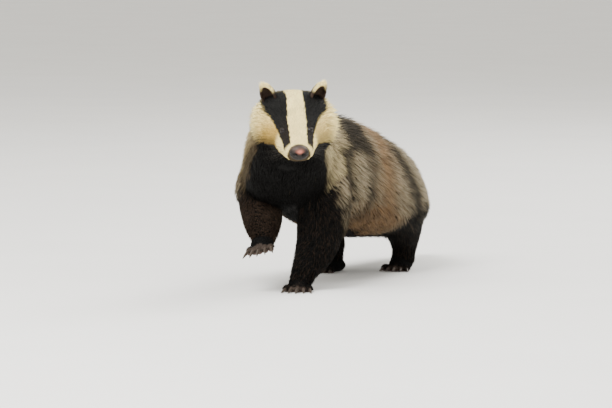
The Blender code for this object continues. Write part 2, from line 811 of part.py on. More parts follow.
def build_ear(name, side):
    """A rounded cup, open to the front, in the head's own frame."""
    work = bmesh.new()
    bmesh.ops.create_uvsphere(work, u_segments=14, v_segments=8, radius=1.0)
    bmesh.ops.rotate(work, verts=work.verts, matrix=Matrix.Rotation(math.pi / 2, 3, "X"))
    front = [v for v in work.verts if v.co.y > EAR_MOUTH]
    bmesh.ops.delete(work, geom=front, context="VERTS")
    bmesh.ops.scale(work, vec=EAR_SIZE, verts=work.verts)
    mesh = bpy.data.meshes.new(name)
    work.to_mesh(mesh)
    work.free()
    ear = bpy.data.objects.new(f"{name}_ear", mesh)
    parts.objects.link(ear)
    wall = ear.modifiers.new("wall", "SOLIDIFY")
    wall.thickness = EAR_WALL
    wall.offset = -1.0
    apply(ear)
    turn = Matrix.Rotation(side * -EAR_TURN, 4, "Z")
    lean = Matrix.Rotation(side * EAR_LEAN, 4, "Y")
    place = Vector((side * EAR_PLACE.x, EAR_PLACE.y, EAR_PLACE.z))
    shift(ear, Matrix.Translation(place) @ lean @ turn)
    paint(ear, BLACK_FUR)
    return ear


def lifted_paw():
    """The lifted paw points forwards and a little down, its outer side lower."""
    forward = LIFTED_AHEAD.normalized()
    left = Vector((math.cos(LIFTED_ROLL), 0.0, math.sin(LIFTED_ROLL)))
    left = (left - forward * left.dot(forward)).normalized()
    up = forward.cross(left)
    turn = Matrix((-left, forward, up)).transposed().to_4x4()
    return Matrix.Translation(LIFTED_PLACE - up * LIFTED_SOLE) @ turn


def standing_paw(x, y, outwards):
    """A paw that stands flat on the floor and points along -Y, turned outwards by some degrees."""
    return Matrix.Translation((x, y, 0.0)) @ Matrix.Rotation(math.radians(180.0 + outwards), 4, "Z")


def build_leg(name, joints):
    """A leg as a loft of ellipses, one across each joint's direction."""
    rows = smooth_rows(joints, LEG_RINGS)
    along = np.gradient(rows[:, :3], axis=0)
    along /= np.linalg.norm(along, axis=1)[:, None]
    side = np.cross(along, [0.0, 1.0, 0.0])
    side /= np.linalg.norm(side, axis=1)[:, None]
    fore = np.cross(side, along)
    angle = np.linspace(0.0, 2 * math.pi, LEG_SIDES, endpoint=False)
    rings = []
    for i, row in enumerate(rows):
        across = np.cos(angle)[:, None] * side[i] * row[3]
        deep = np.sin(angle)[:, None] * fore[i] * row[4]
        rings.append(row[:3] + across + deep)
    return loft(name, rings, BLACK_FUR)


def toe_path(root, ahead, reach, fall, hook):
    """A path that leaves the paw, sinks a little along the toe and hooks down along the claw."""
    def path(distance):
        past = np.maximum(distance - reach, 0.0)
        toe = np.minimum(distance, reach)
        drop = fall * (toe / reach) ** 2 + 2.0 * fall / reach * past + hook * past ** 2
        return root + ahead * distance[:, None] - np.array([0.0, 0.0, 1.0]) * drop[:, None]
    return path


def build_paw(name, paw, place, planted):
    """A paw with five toes, whose soles are flat where it stands, and its five claws."""
    middle = (paw.front + paw.back) / 2
    size = Vector((paw.half_width, (paw.front - paw.back) / 2 + PALM_PAST, paw.tall * PALM_TALL))
    palm = ball(f"{name}_paw", Vector((0, middle, paw.tall * PALM_LEVEL)), size, BLACK_FUR, 12, 7)
    toes = []
    claws = []
    for i in range(TOES):
        step = i - (TOES - 1) // 2
        turn = step * paw.toe_fan
        reach = paw.toe_length * (1.0 - TOE_SHORTER * abs(step))
        back = TOE_BACK + abs(step) * TOE_BACK_STEP
        root = np.array([step * paw.half_width * TOE_SPACING, paw.front - back, paw.toe_radius * TOE_LEVEL])
        ahead = np.array([math.sin(turn), math.cos(turn), 0.0])
        path = toe_path(root, ahead, reach, TOE_FALL, paw.claw_hook)
        toes.append(tube("toe", path, TOE_AT * reach, TOE_THICK * paw.toe_radius, TOE_SIDES, BLACK_FUR))
        at = reach + GAP + CLAW_AT * paw.claw_length
        thick = CLAW_THICK * paw.claw_radius
        number = TOES - i if name.startswith("left") else i + 1
        claws.append(tube(f"{name}_claw_{number}", path, at, thick, CLAW_SIDES, CLAW_HORN, CLAW_TALL, 0.4))
    join(palm, toes)
    for piece in (palm, *claws):
        shift(piece, place)
    if planted:
        for piece in (palm, *claws):
            flatten_sole(piece)
    return palm


def flatten_sole(obj):
    """Brings every point under the floor up to it, so that the foot stands on flats."""
    for vert in obj.data.vertices:
        vert.co.z = max(vert.co.z, 0.0)
    obj.data.update()


def build_legs():
    """The four legs with their paws and claws."""
    plans = [
        ("left_fore", FORE_LEFT, FOREPAW, standing_paw(*LEFT_FORE_STAND), True),
        ("right_fore", FORE_RIGHT, FOREPAW, lifted_paw(), False),
        ("left_hind", HIND_LEFT, HINDPAW, standing_paw(*LEFT_HIND_STAND), True),
        ("right_hind", HIND_RIGHT, HINDPAW, standing_paw(*RIGHT_HIND_STAND), True),
    ]
    legs = []
    for name, joints, paw, place, planted in plans:
        palm = build_paw(name, paw, place, planted)
        legs.append(carve(build_leg(f"{name}_leg", joints), [palm]))
    return legs


def main():
    """Builds every piece and puts the origin under the model's middle."""
    neck, torso, tail = build_trunk()
    head = build_head()
    legs = build_legs()
    for piece in neck:
        carve(piece, head)
    for piece in torso:
        carve(piece, neck + head)
    for piece in tail:
        carve(piece, torso)
    for leg in legs:
        carve(leg, torso + neck + head)
    for node in (head, neck, torso, tail):
        join(node[0], node[1:])
    for obj in parts.objects:
        shift(obj, Matrix.Translation(-ORIGIN))
        obj.data.shade_smooth()
        obj.data.set_sharp_from_angle(angle=math.radians(50.0))


for old in list(bpy.data.objects):
    bpy.data.objects.remove(old)
parts = bpy.data.collections.new("badger")
bpy.context.scene.collection.children.link(parts)
main()
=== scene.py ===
"""The looks of a life-size European badger: skin, coat, eyes, ears, nose, lips, claws, pads and whiskers.

Sizes are in metres. Shapes are worked out from a zero on the floor between the shoulders and moved to the
model's own origin as each mesh is made. The animal heads along -Y, and +X is its left side.
"""

import itertools
import logging
import math
from dataclasses import dataclass, field
from enum import Enum
from typing import Callable, Sequence

import bpy
import numpy as np
from mathutils import Matrix, Vector


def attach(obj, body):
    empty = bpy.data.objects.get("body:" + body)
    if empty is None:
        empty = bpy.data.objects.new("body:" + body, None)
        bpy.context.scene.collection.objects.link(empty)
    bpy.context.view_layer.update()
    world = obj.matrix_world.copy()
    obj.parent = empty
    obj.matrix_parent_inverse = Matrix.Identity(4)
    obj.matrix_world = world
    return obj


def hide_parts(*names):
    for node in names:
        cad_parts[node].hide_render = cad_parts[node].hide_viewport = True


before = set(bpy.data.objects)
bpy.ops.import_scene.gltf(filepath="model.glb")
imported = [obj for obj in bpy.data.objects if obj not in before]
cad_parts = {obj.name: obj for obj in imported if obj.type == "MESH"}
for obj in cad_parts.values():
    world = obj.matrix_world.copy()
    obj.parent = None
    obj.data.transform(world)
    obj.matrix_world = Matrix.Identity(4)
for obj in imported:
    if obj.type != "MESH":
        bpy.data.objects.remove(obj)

Array = np.ndarray
Row = tuple[float, ...]
Shell = tuple[Array, Array]
Socket = bpy.types.NodeSocket
Material = bpy.types.Material
log = logging.getLogger("badger")

# The model's own origin, from the floor between the shoulders
ORIGIN = np.array([0.0157, 0.0492, 0.0])
BAKE_MAP = "OFBake"
BAKE_PATCH = 0.003
BAKE_EDGE = 0.008
SHADE = "shade"
SIDES = (("left", -1), ("right", 1))
UP = np.array([0.0, 0.0, 1.0])


def unit(rows: Array) -> Array:
    """Each row divided by its own length."""
    return rows / np.maximum(np.linalg.norm(rows, axis=-1, keepdims=True), 1e-12)


def dot(a: Array, b: Array) -> Array:
    """The sum of products along the last axis, kept as a column."""
    return (a * b).sum(axis=-1, keepdims=True)


def turns(count: int) -> Array:
    """Angles evenly round one full turn."""
    return np.linspace(0.0, 2 * math.pi, count, endpoint=False)


def step_up(value: Array, low: float, high: float) -> Array:
    """A smooth step: 0 below low, 1 above high, and 3t^2 - 2t^3 between."""
    t = np.clip((value - low) / (high - low), 0.0, 1.0)
    return t * t * (3.0 - 2.0 * t)


def window(value: Array, rise: Row, fall: Row) -> Array:
    """1 past a smooth rise and before a smooth fall, and 0 outside them."""
    return step_up(value, *rise) * (1.0 - step_up(value, *fall))


def bump(value: Array, middle: float, width: float) -> Array:
    """A bell: e to the power of minus half the square of the distance from its middle, in widths."""
    return np.exp(-0.5 * ((value - middle) / width) ** 2)


def between(at: Array, keys: Array, wanted: Array) -> Array:
    """Rows on a cubic curve through the keys, whose slopes come from their neighbours.

    Args:
        at: Where each key lies.
        keys: One row of numbers for each key.
        wanted: Where rows are wanted.

    Returns:
        One row for each wanted place.
    """
    slopes = np.gradient(keys, at, axis=0)
    i = np.clip(np.searchsorted(at, wanted) - 1, 0, len(at) - 2)
    span = (at[i + 1] - at[i])[:, None]
    t = (wanted - at[i])[:, None] / span
    start = (1 + 2 * t) * (1 - t) ** 2 * keys[i] + t * (1 - t) ** 2 * span * slopes[i]
    end = t * t * (3 - 2 * t) * keys[i + 1] + t * t * (t - 1) * span * slopes[i + 1]
    return start + end


def ripple(points: Array, size: float, seed: int) -> Array:
    """Smooth noise of about -1 to 1: the mean of ten sine waves of about one length, in seeded directions.

    Args:
        points: Places in space.
        size: The wavelength, in metres.
        seed: Picks the directions and phases.

    Returns:
        One value for each point.
    """
    draw = np.random.default_rng(seed)
    ways = unit(draw.normal(size=(10, 3))) * (2 * math.pi / size) * draw.uniform(0.6, 1.5, (10, 1))
    return np.sin(points @ ways.T + draw.uniform(0, 2 * math.pi, 10)).mean(axis=1) * 2.2


@dataclass(frozen=True)
class Curve:
    """Values at a few places, read straight in between and held at both ends."""

    at: Row
    values: Row

    def __call__(self, where: Array) -> Array:
        """The value at each place."""
        return np.interp(where, self.at, self.values)


class Table:
    """Rows worked out closely along a curve once, and then read by straight interpolation."""

    def __init__(self, start: float, end: float, rows: Callable[[Array], Array], count: int = 700) -> None:
        self.start = start
        self.step = (end - start) / (count - 1)
        self.rows = rows(np.linspace(start, end, count))

    def __call__(self, where: Array) -> Array:
        """The rows at the given places, held at both ends."""
        place = np.clip((where - self.start) / self.step, 0.0, len(self.rows) - 1.001)
        low = place.astype(int)
        part = (place - low)[:, None]
        return self.rows[low] * (1.0 - part) + self.rows[low + 1] * part


@dataclass
class Near:
    """How places lie to one part of the body: how far outside its skin, the ways out and along the lie, the
    depth of the coat there, and its own two coordinates on an unwrap of that part."""

    outside: Array
    out: Array
    lie: Array
    depth: Array
    unwrap: Array


def section(x: Array, z: Array, wide: Array, tall: Array, square: Array) -> tuple[Array, Array, Array]:
    """A superellipse across a part: the power mean of x over wide and z over tall.

    Args:
        x: Distances to the side.
        z: Distances up.
        wide: Half widths.
        tall: Half heights.
        square: The power: 2 is an ellipse.

    Returns:
        The ratio, which is 1 on the outline, and its slopes in x and z.
    """
    a = np.abs(x) / wide
    b = np.abs(z) / tall
    ratio = np.maximum((a**square + b**square) ** (1.0 / square), 1e-6)
    scale = ratio ** (1.0 - square)
    slope_x = np.sign(x) * a ** (square - 1) / wide * scale
    return ratio, slope_x, np.sign(z) * b ** (square - 1) / tall * scale


class Bent:
    """A part whose sections stand across a curved middle line through a few stations."""

    def measure(self, stations: Array, count: int) -> None:
        """Works out the middle line's length, and its rows closely along it."""
        steps = np.linalg.norm(np.diff(stations[:, :3], axis=0), axis=1)
        self.at = np.concatenate([[0.0], np.cumsum(steps)])
        self.length = float(self.at[-1])
        self.table = Table(0.0, self.length, self.rows, count)

    def settle(self, points: Array, length: Array, rounds: int) -> Array:
        """Lengths moved from a first guess until the plane across the middle line there holds each point."""
        for _ in range(rounds):
            row = self.table(length)
            ahead = ((points - row[:, :3]) * row[:, 3:6]).sum(axis=1)
            length = np.clip(length + 0.8 * ahead, 0.0, self.length)
        return length

    @staticmethod
    def across(row: Array, first: Array, second: Array) -> Array:
        """The two ways across the middle line, scaled and added."""
        return row[:, 6:9] * first[:, None] + row[:, 9:12] * second[:, None]


@dataclass
class Trunk(Bent):
    """Neck, torso and tail: superellipses across a curved middle line, out to the tips of the coat."""

    stations: Array = field(default_factory=lambda: np.array([
        # x, y, z, half width, above, below, depth of the coat
        (0.078, -0.297, 0.270, 0.040, 0.034, 0.027, 0.008),
        (0.061, -0.266, 0.273, 0.062, 0.066, 0.056, 0.014),
        (0.038, -0.225, 0.258, 0.073, 0.081, 0.074, 0.018),
        (0.012, -0.168, 0.222, 0.083, 0.096, 0.078, 0.020),
        (0.000, -0.095, 0.190, 0.101, 0.120, 0.062, 0.021),
        (0.000, 0.000, 0.160, 0.107, 0.143, 0.064, 0.022),
        (0.000, 0.090, 0.138, 0.110, 0.145, 0.066, 0.023),
        (0.000, 0.180, 0.124, 0.110, 0.132, 0.060, 0.023),
        (0.000, 0.262, 0.116, 0.092, 0.111, 0.055, 0.022),
        (0.000, 0.322, 0.114, 0.069, 0.061, 0.044, 0.020),
        (-0.003, 0.354, 0.112, 0.044, 0.040, 0.036, 0.018),
        (-0.012, 0.400, 0.094, 0.036, 0.031, 0.030, 0.018),
        (-0.026, 0.442, 0.074, 0.029, 0.023, 0.024, 0.016),
        (-0.040, 0.476, 0.056, 0.012, 0.010, 0.010, 0.006),
    ]))
    back_square: float = 1.95
    belly_square: float = 2.15
    belly_coat: float = 0.55
    skin_share: float = 0.90
    throat_droop: float = 1.0
    flank_droop: float = 0.62
    tail_droop: float = 0.15
    droop_at: Row = (0.05, 0.20, 0.60, 0.74)
    least: float = 0.004
    probe: float = 0.006

    def __post_init__(self) -> None:
        self.measure(self.stations, 700)

    def rows(self, length: Array) -> Array:
        """The centre, the ways along, to the side and up, and the four sizes, at each length."""
        here = between(self.at, self.stations, length)
        ahead = between(self.at, self.stations, np.minimum(length + self.probe / 2, self.length))
        behind = between(self.at, self.stations, np.maximum(length - self.probe / 2, 0.0))
        along = unit(ahead[:, :3] - behind[:, :3])
        side = unit(np.cross(along, UP))
        return np.hstack([here[:, :3], along, side, np.cross(side, along), here[:, 3:]])

    def sizes(self, row: Array, sine: Array) -> tuple[Array, Array, Array, Array]:
        """Half width, half height, power and coat depth of the skin's section, above or below its middle."""
        above = sine > 0
        depth = row[:, 15] * self.skin_share * (1 - (1 - self.belly_coat) * np.clip(-2 * sine, 0, 1))
        tall = np.where(above, row[:, 13], row[:, 14])
        square = np.where(above, self.back_square, self.belly_square)
        return np.maximum(row[:, 12] - depth, self.least), np.maximum(tall - depth, self.least), square, depth

    def point(self, length: Array, angle: Array) -> Array:
        """Points on the skin: the centre plus side and up vectors scaled by powers of cosine and sine."""
        row = self.table(length)
        c, s = np.cos(angle), np.sin(angle)
        wide, tall, square, _ = self.sizes(row, s)
        x = wide * np.sign(c) * np.abs(c) ** (2 / square)
        z = tall * np.sign(s) * np.abs(s) ** (2 / square)
        return row[:, :3] + self.across(row, x, z)

    def locate(self, points: Array) -> tuple[Array, Array, Array, Array]:
        """The length along the middle line at each point, the row there, and x and z across it."""
        lengths = np.linspace(0, self.length, len(self.table.rows))
        length = self.settle(points, np.interp(points[:, 1], self.table.rows[:, 1], lengths), 4)
        row = self.table(length)
        apart = points - row[:, :3]
        return length, row, (apart * row[:, 6:9]).sum(axis=1), (apart * row[:, 9:12]).sum(axis=1)

    def near(self, points: Array) -> Near:
        """How places lie to the trunk; the lie runs back and droops down the flanks."""
        length, row, x, z = self.locate(points)
        sine = z / np.maximum(np.where(z > 0, row[:, 13], row[:, 14]), 1e-6)
        wide, tall, square, depth = self.sizes(row, sine)
        ratio, slope_x, slope_z = section(x, z, wide, tall, square)
        ends = []
        for way in (-self.probe, self.probe):
            other = self.table(length + way)
            ends.append(section(x, z, *self.sizes(other, z / row[:, 13])[:3])[0])
        slope_s = (ends[1] - ends[0]) / (2 * self.probe)
        slope = self.across(row, slope_x, slope_z) + row[:, 3:6] * slope_s[:, None]
        size = np.linalg.norm(slope, axis=1)
        out = slope / size[:, None]
        past = np.abs(((points - row[:, :3]) * row[:, 3:6]).sum(axis=1))
        outside = (ratio - 1.0) / size + past
        droops = [self.throat_droop, self.flank_droop, self.flank_droop, self.tail_droop]
        droop = np.interp(length, self.droop_at, droops)
        lie = row[:, 3:6] * np.cos(droop)[:, None] - UP * np.sin(droop)[:, None]
        lie = unit(lie - out * dot(lie, out))
        turn = np.arctan2(z / tall, x / wide) / (2 * math.pi) + 0.25
        return Near(outside, out, lie, depth, np.stack([turn % 1.0, length / self.length], axis=1))


@dataclass
class Head:
    """The head in its own frame, +X right, +Y forward, +Z up, with its ruff, sockets and mouth."""

    slices: Array = field(default_factory=lambda: np.array([
        # forward, level, half width, top, bottom, square of the upper half, ruff
        (-0.060, -0.004, 0.034, 0.026, -0.036, 2.0, 0.014),
        (-0.040, -0.005, 0.050, 0.041, -0.048, 2.1, 0.018),
        (-0.012, -0.006, 0.058, 0.051, -0.054, 2.2, 0.020),
        (0.018, -0.008, 0.058, 0.050, -0.054, 2.05, 0.018),
        (0.045, -0.010, 0.048, 0.042, -0.049, 1.75, 0.008),
        (0.070, -0.011, 0.039, 0.032, -0.041, 1.65, 0.001),
        (0.095, -0.010, 0.0315, 0.022, -0.034, 1.80, 0.0),
        (0.118, -0.008, 0.0275, 0.0145, -0.028, 2.0, 0.0),
        (0.132, -0.007, 0.0235, 0.0095, -0.024, 2.0, 0.0),
        (0.141, -0.007, 0.0140, 0.0020, -0.017, 2.0, 0.0),
    ]))
    place: Row = (0.0624, -0.258, 0.3032)
    yaw: float = math.radians(29.7)
    pitch: float = math.radians(17.5)
    roll: float = math.radians(1.0)
    jaw_square: float = 2.1
    eye_place: Row = (0.0220, 0.0818, 0.0117)
    eye_look: Row = (0.72, 0.62, 0.28)
    eye_radius: float = 0.0060
    mouth_level: float = -0.0180
    mouth_corner: float = 0.078
    mouth_front: float = 0.1375
    mouth_drop: float = 0.0035
    nose_place: Row = (0.0, 0.1393, -0.0062)
    nose_size: Row = (0.0165, 0.0098, 0.0130)
    bunching: float = 0.16
    least: float = 0.002
    probe: float = 0.003
    fur_depth: Curve = Curve((-0.06, 0.0, 0.05, 0.10, 0.14), (0.0060, 0.0040, 0.0026, 0.0014, 0.0007))

    def __post_init__(self) -> None:
        turn = Matrix.Rotation(self.yaw, 3, "Z") @ Matrix.Rotation(math.pi, 3, "Z")
        turn = turn @ Matrix.Rotation(-self.pitch, 3, "X") @ Matrix.Rotation(self.roll, 3, "Y")
        self.turn = np.array(turn)
        keys = self.slices
        self.table = Table(keys[0, 0], keys[-1, 0], lambda f: between(keys[:, 0], keys, f))

    def to_world(self, local: Array) -> Array:
        """Places in the head's frame, carried to the body's."""
        return local @ self.turn.T + np.array(self.place)

    def to_local(self, points: Array) -> Array:
        """Places in the body's frame, carried to the head's."""
        return (points - np.array(self.place)) @ self.turn

    def eye_apart(self, local: Array) -> tuple[Array, Array]:
        """How far places lie from the line along which the nearer eye looks, and how far ahead of it."""
        apart = np.stack([np.abs(local[:, 0]), local[:, 1], local[:, 2]], axis=1) - np.array(self.eye_place)
        look = unit(np.array(self.eye_look))
        ahead = apart @ look
        return np.linalg.norm(apart - ahead[:, None] * look, axis=1), ahead

    @staticmethod
    def cheek(sine: Array) -> Array:
        """Where the ruff grows: full on the cheeks, fading to the crown and under the chin."""
        return np.clip((0.88 - sine) / 0.50, 0, 1) * np.clip((sine + 1.0) / 0.25, 0, 1)

    def sizes(self, row: Array, forward: Array, above: Array) -> tuple[Array, Array, Array]:
        """Half width, half height and power of the skin's section."""
        fur = self.fur_depth(forward)
        tall = np.where(above, row[:, 3] - row[:, 1], row[:, 1] - row[:, 4]) - fur
        square = np.where(above, row[:, 5], self.jaw_square)
        return np.maximum(row[:, 2] - fur, self.least), np.maximum(tall, self.least), square

    def mouth_height(self, forward: Array) -> Array:
        """The level of the mouth's line at each place forward."""
        back = np.clip((self.mouth_front - forward) / (self.mouth_front - self.mouth_corner), 0, 1)
        return self.mouth_level - self.mouth_drop * back

    def surface(self, forward: Array, angle: Array) -> Array:
        """Points on the skin, in the head's frame.

        The section's powers of cosine and sine, then moved inwards or outwards by bells: a dent and a brow at
        each eye, a crease along the mouth between two lips, and a groove under the nose.
        """
        row = self.table(forward)
        c, s = np.cos(angle), np.sin(angle)
        wide, tall, square = self.sizes(row, forward, s > 0)
        x = wide * np.sign(c) * np.abs(c) ** (2 / square)
        z = row[:, 1] + tall * np.sign(s) * np.abs(s) ** (2 / square)
        points = np.stack([x, forward, z], axis=1)
        out = unit(np.stack([c / wide, np.full(len(c), 0.2), s / tall], axis=1) * 0.03)
        move = -0.0022 * bump(self.eye_apart(points)[0], 0.0, 0.0055)
        mirrored = np.stack([np.abs(x), forward, z], axis=1)
        over_eye = mirrored - np.array(self.eye_place) - [0.0, 0.004, 0.011]
        move += 0.0012 * bump(np.linalg.norm(over_eye, axis=1), 0.0, 0.007)
        gap = z - self.mouth_height(forward)
        along = step_up(forward, self.mouth_corner - 0.004, self.mouth_corner + 0.008) * (s < 0.2)
        upper_lip, lower_lip = bump(gap, 0.0024, 0.0014), bump(gap, -0.0026, 0.0014)
        move += along * (0.0009 * upper_lip + 0.0011 * lower_lip)
        move -= along * 0.0022 * bump(gap, 0.0, 0.0008)
        move -= 0.0006 * bump(x, 0.0, 0.0010) * step_up(forward, 0.125, 0.132) * (s < 0)
        return points + out * move[:, None]

    def near(self, points: Array) -> Near:
        """How places lie to the head; the lie runs back from the nose and flares over the cheeks."""
        local = self.to_local(points)
        forward = np.clip(local[:, 1], self.slices[0, 0], self.slices[-1, 0])
        row = self.table(forward)
        x, z = local[:, 0], local[:, 2] - row[:, 1]
        wide, tall, square = self.sizes(row, forward, z > 0)
        ratio, slope_x, slope_z = section(x, z, wide, tall, square)
        ends = []
        for way in (-self.probe, self.probe):
            place = np.clip(forward + way, self.slices[0, 0], self.slices[-1, 0])
            other = self.table(place)
            ends.append(section(x, local[:, 2] - other[:, 1], *self.sizes(other, place, z > 0))[0])
        slope = np.stack([slope_x, (ends[1] - ends[0]) / (2 * self.probe), slope_z], axis=1)
        size = np.linalg.norm(slope, axis=1)
        out = slope / size[:, None]
        outside = (ratio - 1.0) / size + np.abs(local[:, 1] - forward)
        cheek = self.cheek(np.clip(z / (tall * ratio), -1, 1))
        flare = cheek * step_up(-forward, -0.055, -0.01)
        side = np.sign(x) * np.minimum(np.abs(x) / 0.02, 1.0)
        lie = np.stack([0.10 * side + 0.15 * flare * side, np.full(len(x), -1.0), -0.55 * flare], axis=1)
        lie = unit(lie - out * dot(lie, out))
        depth = self.fur_depth(forward) + np.maximum(row[:, 6], 0.0) * cheek * (1 - self.bunching * side)
        turn = (np.arctan2(z / tall, x / wide) / (2 * math.pi) + 0.25) % 1.0
        reach = (forward - self.slices[0, 0]) / (self.slices[-1, 0] - self.slices[0, 0])
        return Near(outside, out @ self.turn.T, lie @ self.turn.T, depth, np.stack([turn, reach], axis=1))


@dataclass
class Leg(Bent):
    """One leg: ellipses across a bent middle line that runs down from the body to the paw."""

    name: str
    joints: Array
    fur: float = 0.0045

    def __post_init__(self) -> None:
        self.measure(self.joints, 200)

    def rows(self, length: Array) -> Array:
        """The centre, the ways along, to the side and to the front, and the two sizes, at each length."""
        here = between(self.at, self.joints, length)
        along = unit(np.gradient(here[:, :3], axis=0))
        side = unit(np.cross(along, [0.0, 1.0, 0.0]))
        return np.hstack([here[:, :3], along, side, np.cross(side, along), here[:, 3:] - self.fur])

    def point(self, length: Array, angle: Array) -> Array:
        """Points on the skin: the centre plus both ways across, scaled by cosine and sine."""
        row = self.table(length)
        return row[:, :3] + self.across(row, row[:, 12] * np.cos(angle), row[:, 13] * np.sin(angle))

    def near(self, points: Array) -> Near:
        """How places lie to the leg; the lie runs down it and a little back."""
        down = -self.table.rows[:, 2]
        length = np.interp(-points[:, 2], down, np.linspace(0, self.length, len(down)))
        length = self.settle(points, length, 3)
        row = self.table(length)
        apart = points - row[:, :3]
        x, y = (apart * row[:, 6:9]).sum(axis=1), (apart * row[:, 9:12]).sum(axis=1)
        ratio, slope_x, slope_y = section(x, y, row[:, 12], row[:, 13], np.full(len(x), 2.0))
        slope = self.across(row, slope_x, slope_y)
        size = np.linalg.norm(slope, axis=1)
        out = slope / size[:, None]
        past = np.abs((apart * row[:, 3:6]).sum(axis=1))
        back = 0.25 + 0.75 * step_up(points[:, 2], 0.10, 0.18)
        lie = row[:, 3:6] + np.array([0.0, 1.0, 0.0]) * back[:, None]
        lie = unit(lie - out * dot(lie, out))
        turn = np.arctan2(y, x) / (2 * math.pi) + 0.5
        unwrap = np.stack([turn % 1.0, length / self.length], axis=1)
        return Near((ratio - 1.0) / size + past, out, lie, np.full(len(x), self.fur), unwrap)


@dataclass
class PawSizes:
    """A paw's sizes in its own frame: right, forward and up from the middle of the sole."""

    half_width: float
    back: float
    front: float
    tall: float
    toe_length: float
    toe_radius: float
    toe_fan: float
    claw_length: float
    claw_radius: float
    claw_hook: float


@dataclass
class Paw:
    """One paw: a palm, five toes that sink a little to their claws, and the claws' own paths."""

    name: str
    sizes: PawSizes
    turn: Array
    place: Array
    planted: bool
    fur: float = 0.0016
    toes: int = 5
    ground: float = 0.0004
    toe_sink: float = 0.0012
    toe_spread: float = 0.40
    toe_root: float = 0.003
    toe_arc: float = 0.002
    toe_level: float = 0.86
    toe_lie: Row = (0.0, 1.0, -0.35)

    def to_world(self, local: Array) -> Array:
        """Places in the paw's frame, carried to the body's; a planted paw stays above the floor."""
        points = local @ self.turn.T + self.place
        if self.planted:
            points[..., 2] = np.maximum(points[..., 2], self.ground)
        return points

    def to_local(self, points: Array) -> Array:
        """Places in the body's frame, carried to the paw's."""
        return (points - self.place) @ self.turn

    def toe_path(self, number: int, distance: Array) -> Array:
        """Points along a toe and its claw: ahead, sinking as the square of the distance, then hooked."""
        s = self.sizes
        step = number - (self.toes - 1) // 2
        reach = self.toe_reach(number)
        past = np.maximum(distance - reach, 0.0)
        toe = np.minimum(distance, reach)
        drop = self.toe_sink * (toe / reach) ** 2 + 2 * self.toe_sink / reach * past + s.claw_hook * past**2
        ahead = np.array([math.sin(step * s.toe_fan), math.cos(step * s.toe_fan), 0.0])
        root = np.array([step * s.half_width * self.toe_spread,
                         s.front - self.toe_root - abs(step) * self.toe_arc,
                         s.toe_radius * self.toe_level])
        return root + ahead * distance[:, None] - UP * drop[:, None]

    def toe_reach(self, number: int) -> float:
        """A toe's length: a tenth shorter for each step from the middle one."""
        return self.sizes.toe_length * (1.0 - 0.10 * abs(number - (self.toes - 1) // 2))

    def palm(self) -> tuple[Array, Array]:
        """The middle and the half sizes of the palm."""
        s = self.sizes
        middle = np.array([0.0, (s.front + s.back) / 2, s.tall * 0.36])
        return middle, np.array([s.half_width, (s.front - s.back) / 2 + 0.006, s.tall * 0.60]) - self.fur

    def near(self, points: Array) -> Near:
        """How places lie to the paw: the nearer of palm and toes; the lie runs forward over the toes."""
        local = self.to_local(points)
        middle, half = self.palm()
        away = (local - middle) / half
        ratio = np.maximum(np.linalg.norm(away, axis=1), 1e-6)
        slope = away / half / ratio[:, None]
        size = np.linalg.norm(slope, axis=1)
        outside = (ratio - 1.0) / size
        out = slope / size[:, None]
        for number in range(self.toes):
            reach = self.toe_reach(number)
            line = self.toe_path(number, np.linspace(0.0, reach, 7))
            apart = local[:, None, :] - line[None, :, :]
            far = np.linalg.norm(apart, axis=2)
            best = far.argmin(axis=1)
            pick = np.arange(len(local))
            gap = far[pick, best] - (self.sizes.toe_radius - self.fur)
            closer = gap < outside
            outside = np.where(closer, gap, outside)
            out = np.where(closer[:, None], unit(apart[pick, best]), out)
        lie = np.array(self.toe_lie) - out * dot(np.array(self.toe_lie), out)
        turn = np.arctan2(local[:, 0], local[:, 2] - 0.2 * self.sizes.tall) / (2 * math.pi) + 0.5
        reach = np.clip((local[:, 1] + 0.06) / 0.12, 0, 1)
        depth, unwrap = np.full(len(local), self.fur), np.stack([turn % 1.0, reach], axis=1)
        return Near(outside, out @ self.turn.T, unit(lie) @ self.turn.T, depth, unwrap)


def standing(x: float, y: float, outwards: float) -> tuple[Array, Array]:
    """The turn and place of a paw that stands on the floor and points along -Y, turned out by degrees."""
    return np.array(Matrix.Rotation(math.radians(180.0 + outwards), 3, "Z")), np.array([x, y, 0.0])


def lifted() -> tuple[Array, Array]:
    """The turn and place of the lifted paw, which points forward and a little down, its outer side lower."""
    forward = Vector((0.26, -0.951, -0.09)).normalized()
    left = Vector((math.cos(math.radians(10.0)), 0.0, math.sin(math.radians(10.0))))
    left = (left - forward * left.dot(forward)).normalized()
    up = forward.cross(left)
    turn = np.array(Matrix((-left, forward, up)).transposed())
    return turn, np.array([-0.012, -0.230, 0.085]) - np.array(up) * 0.0126


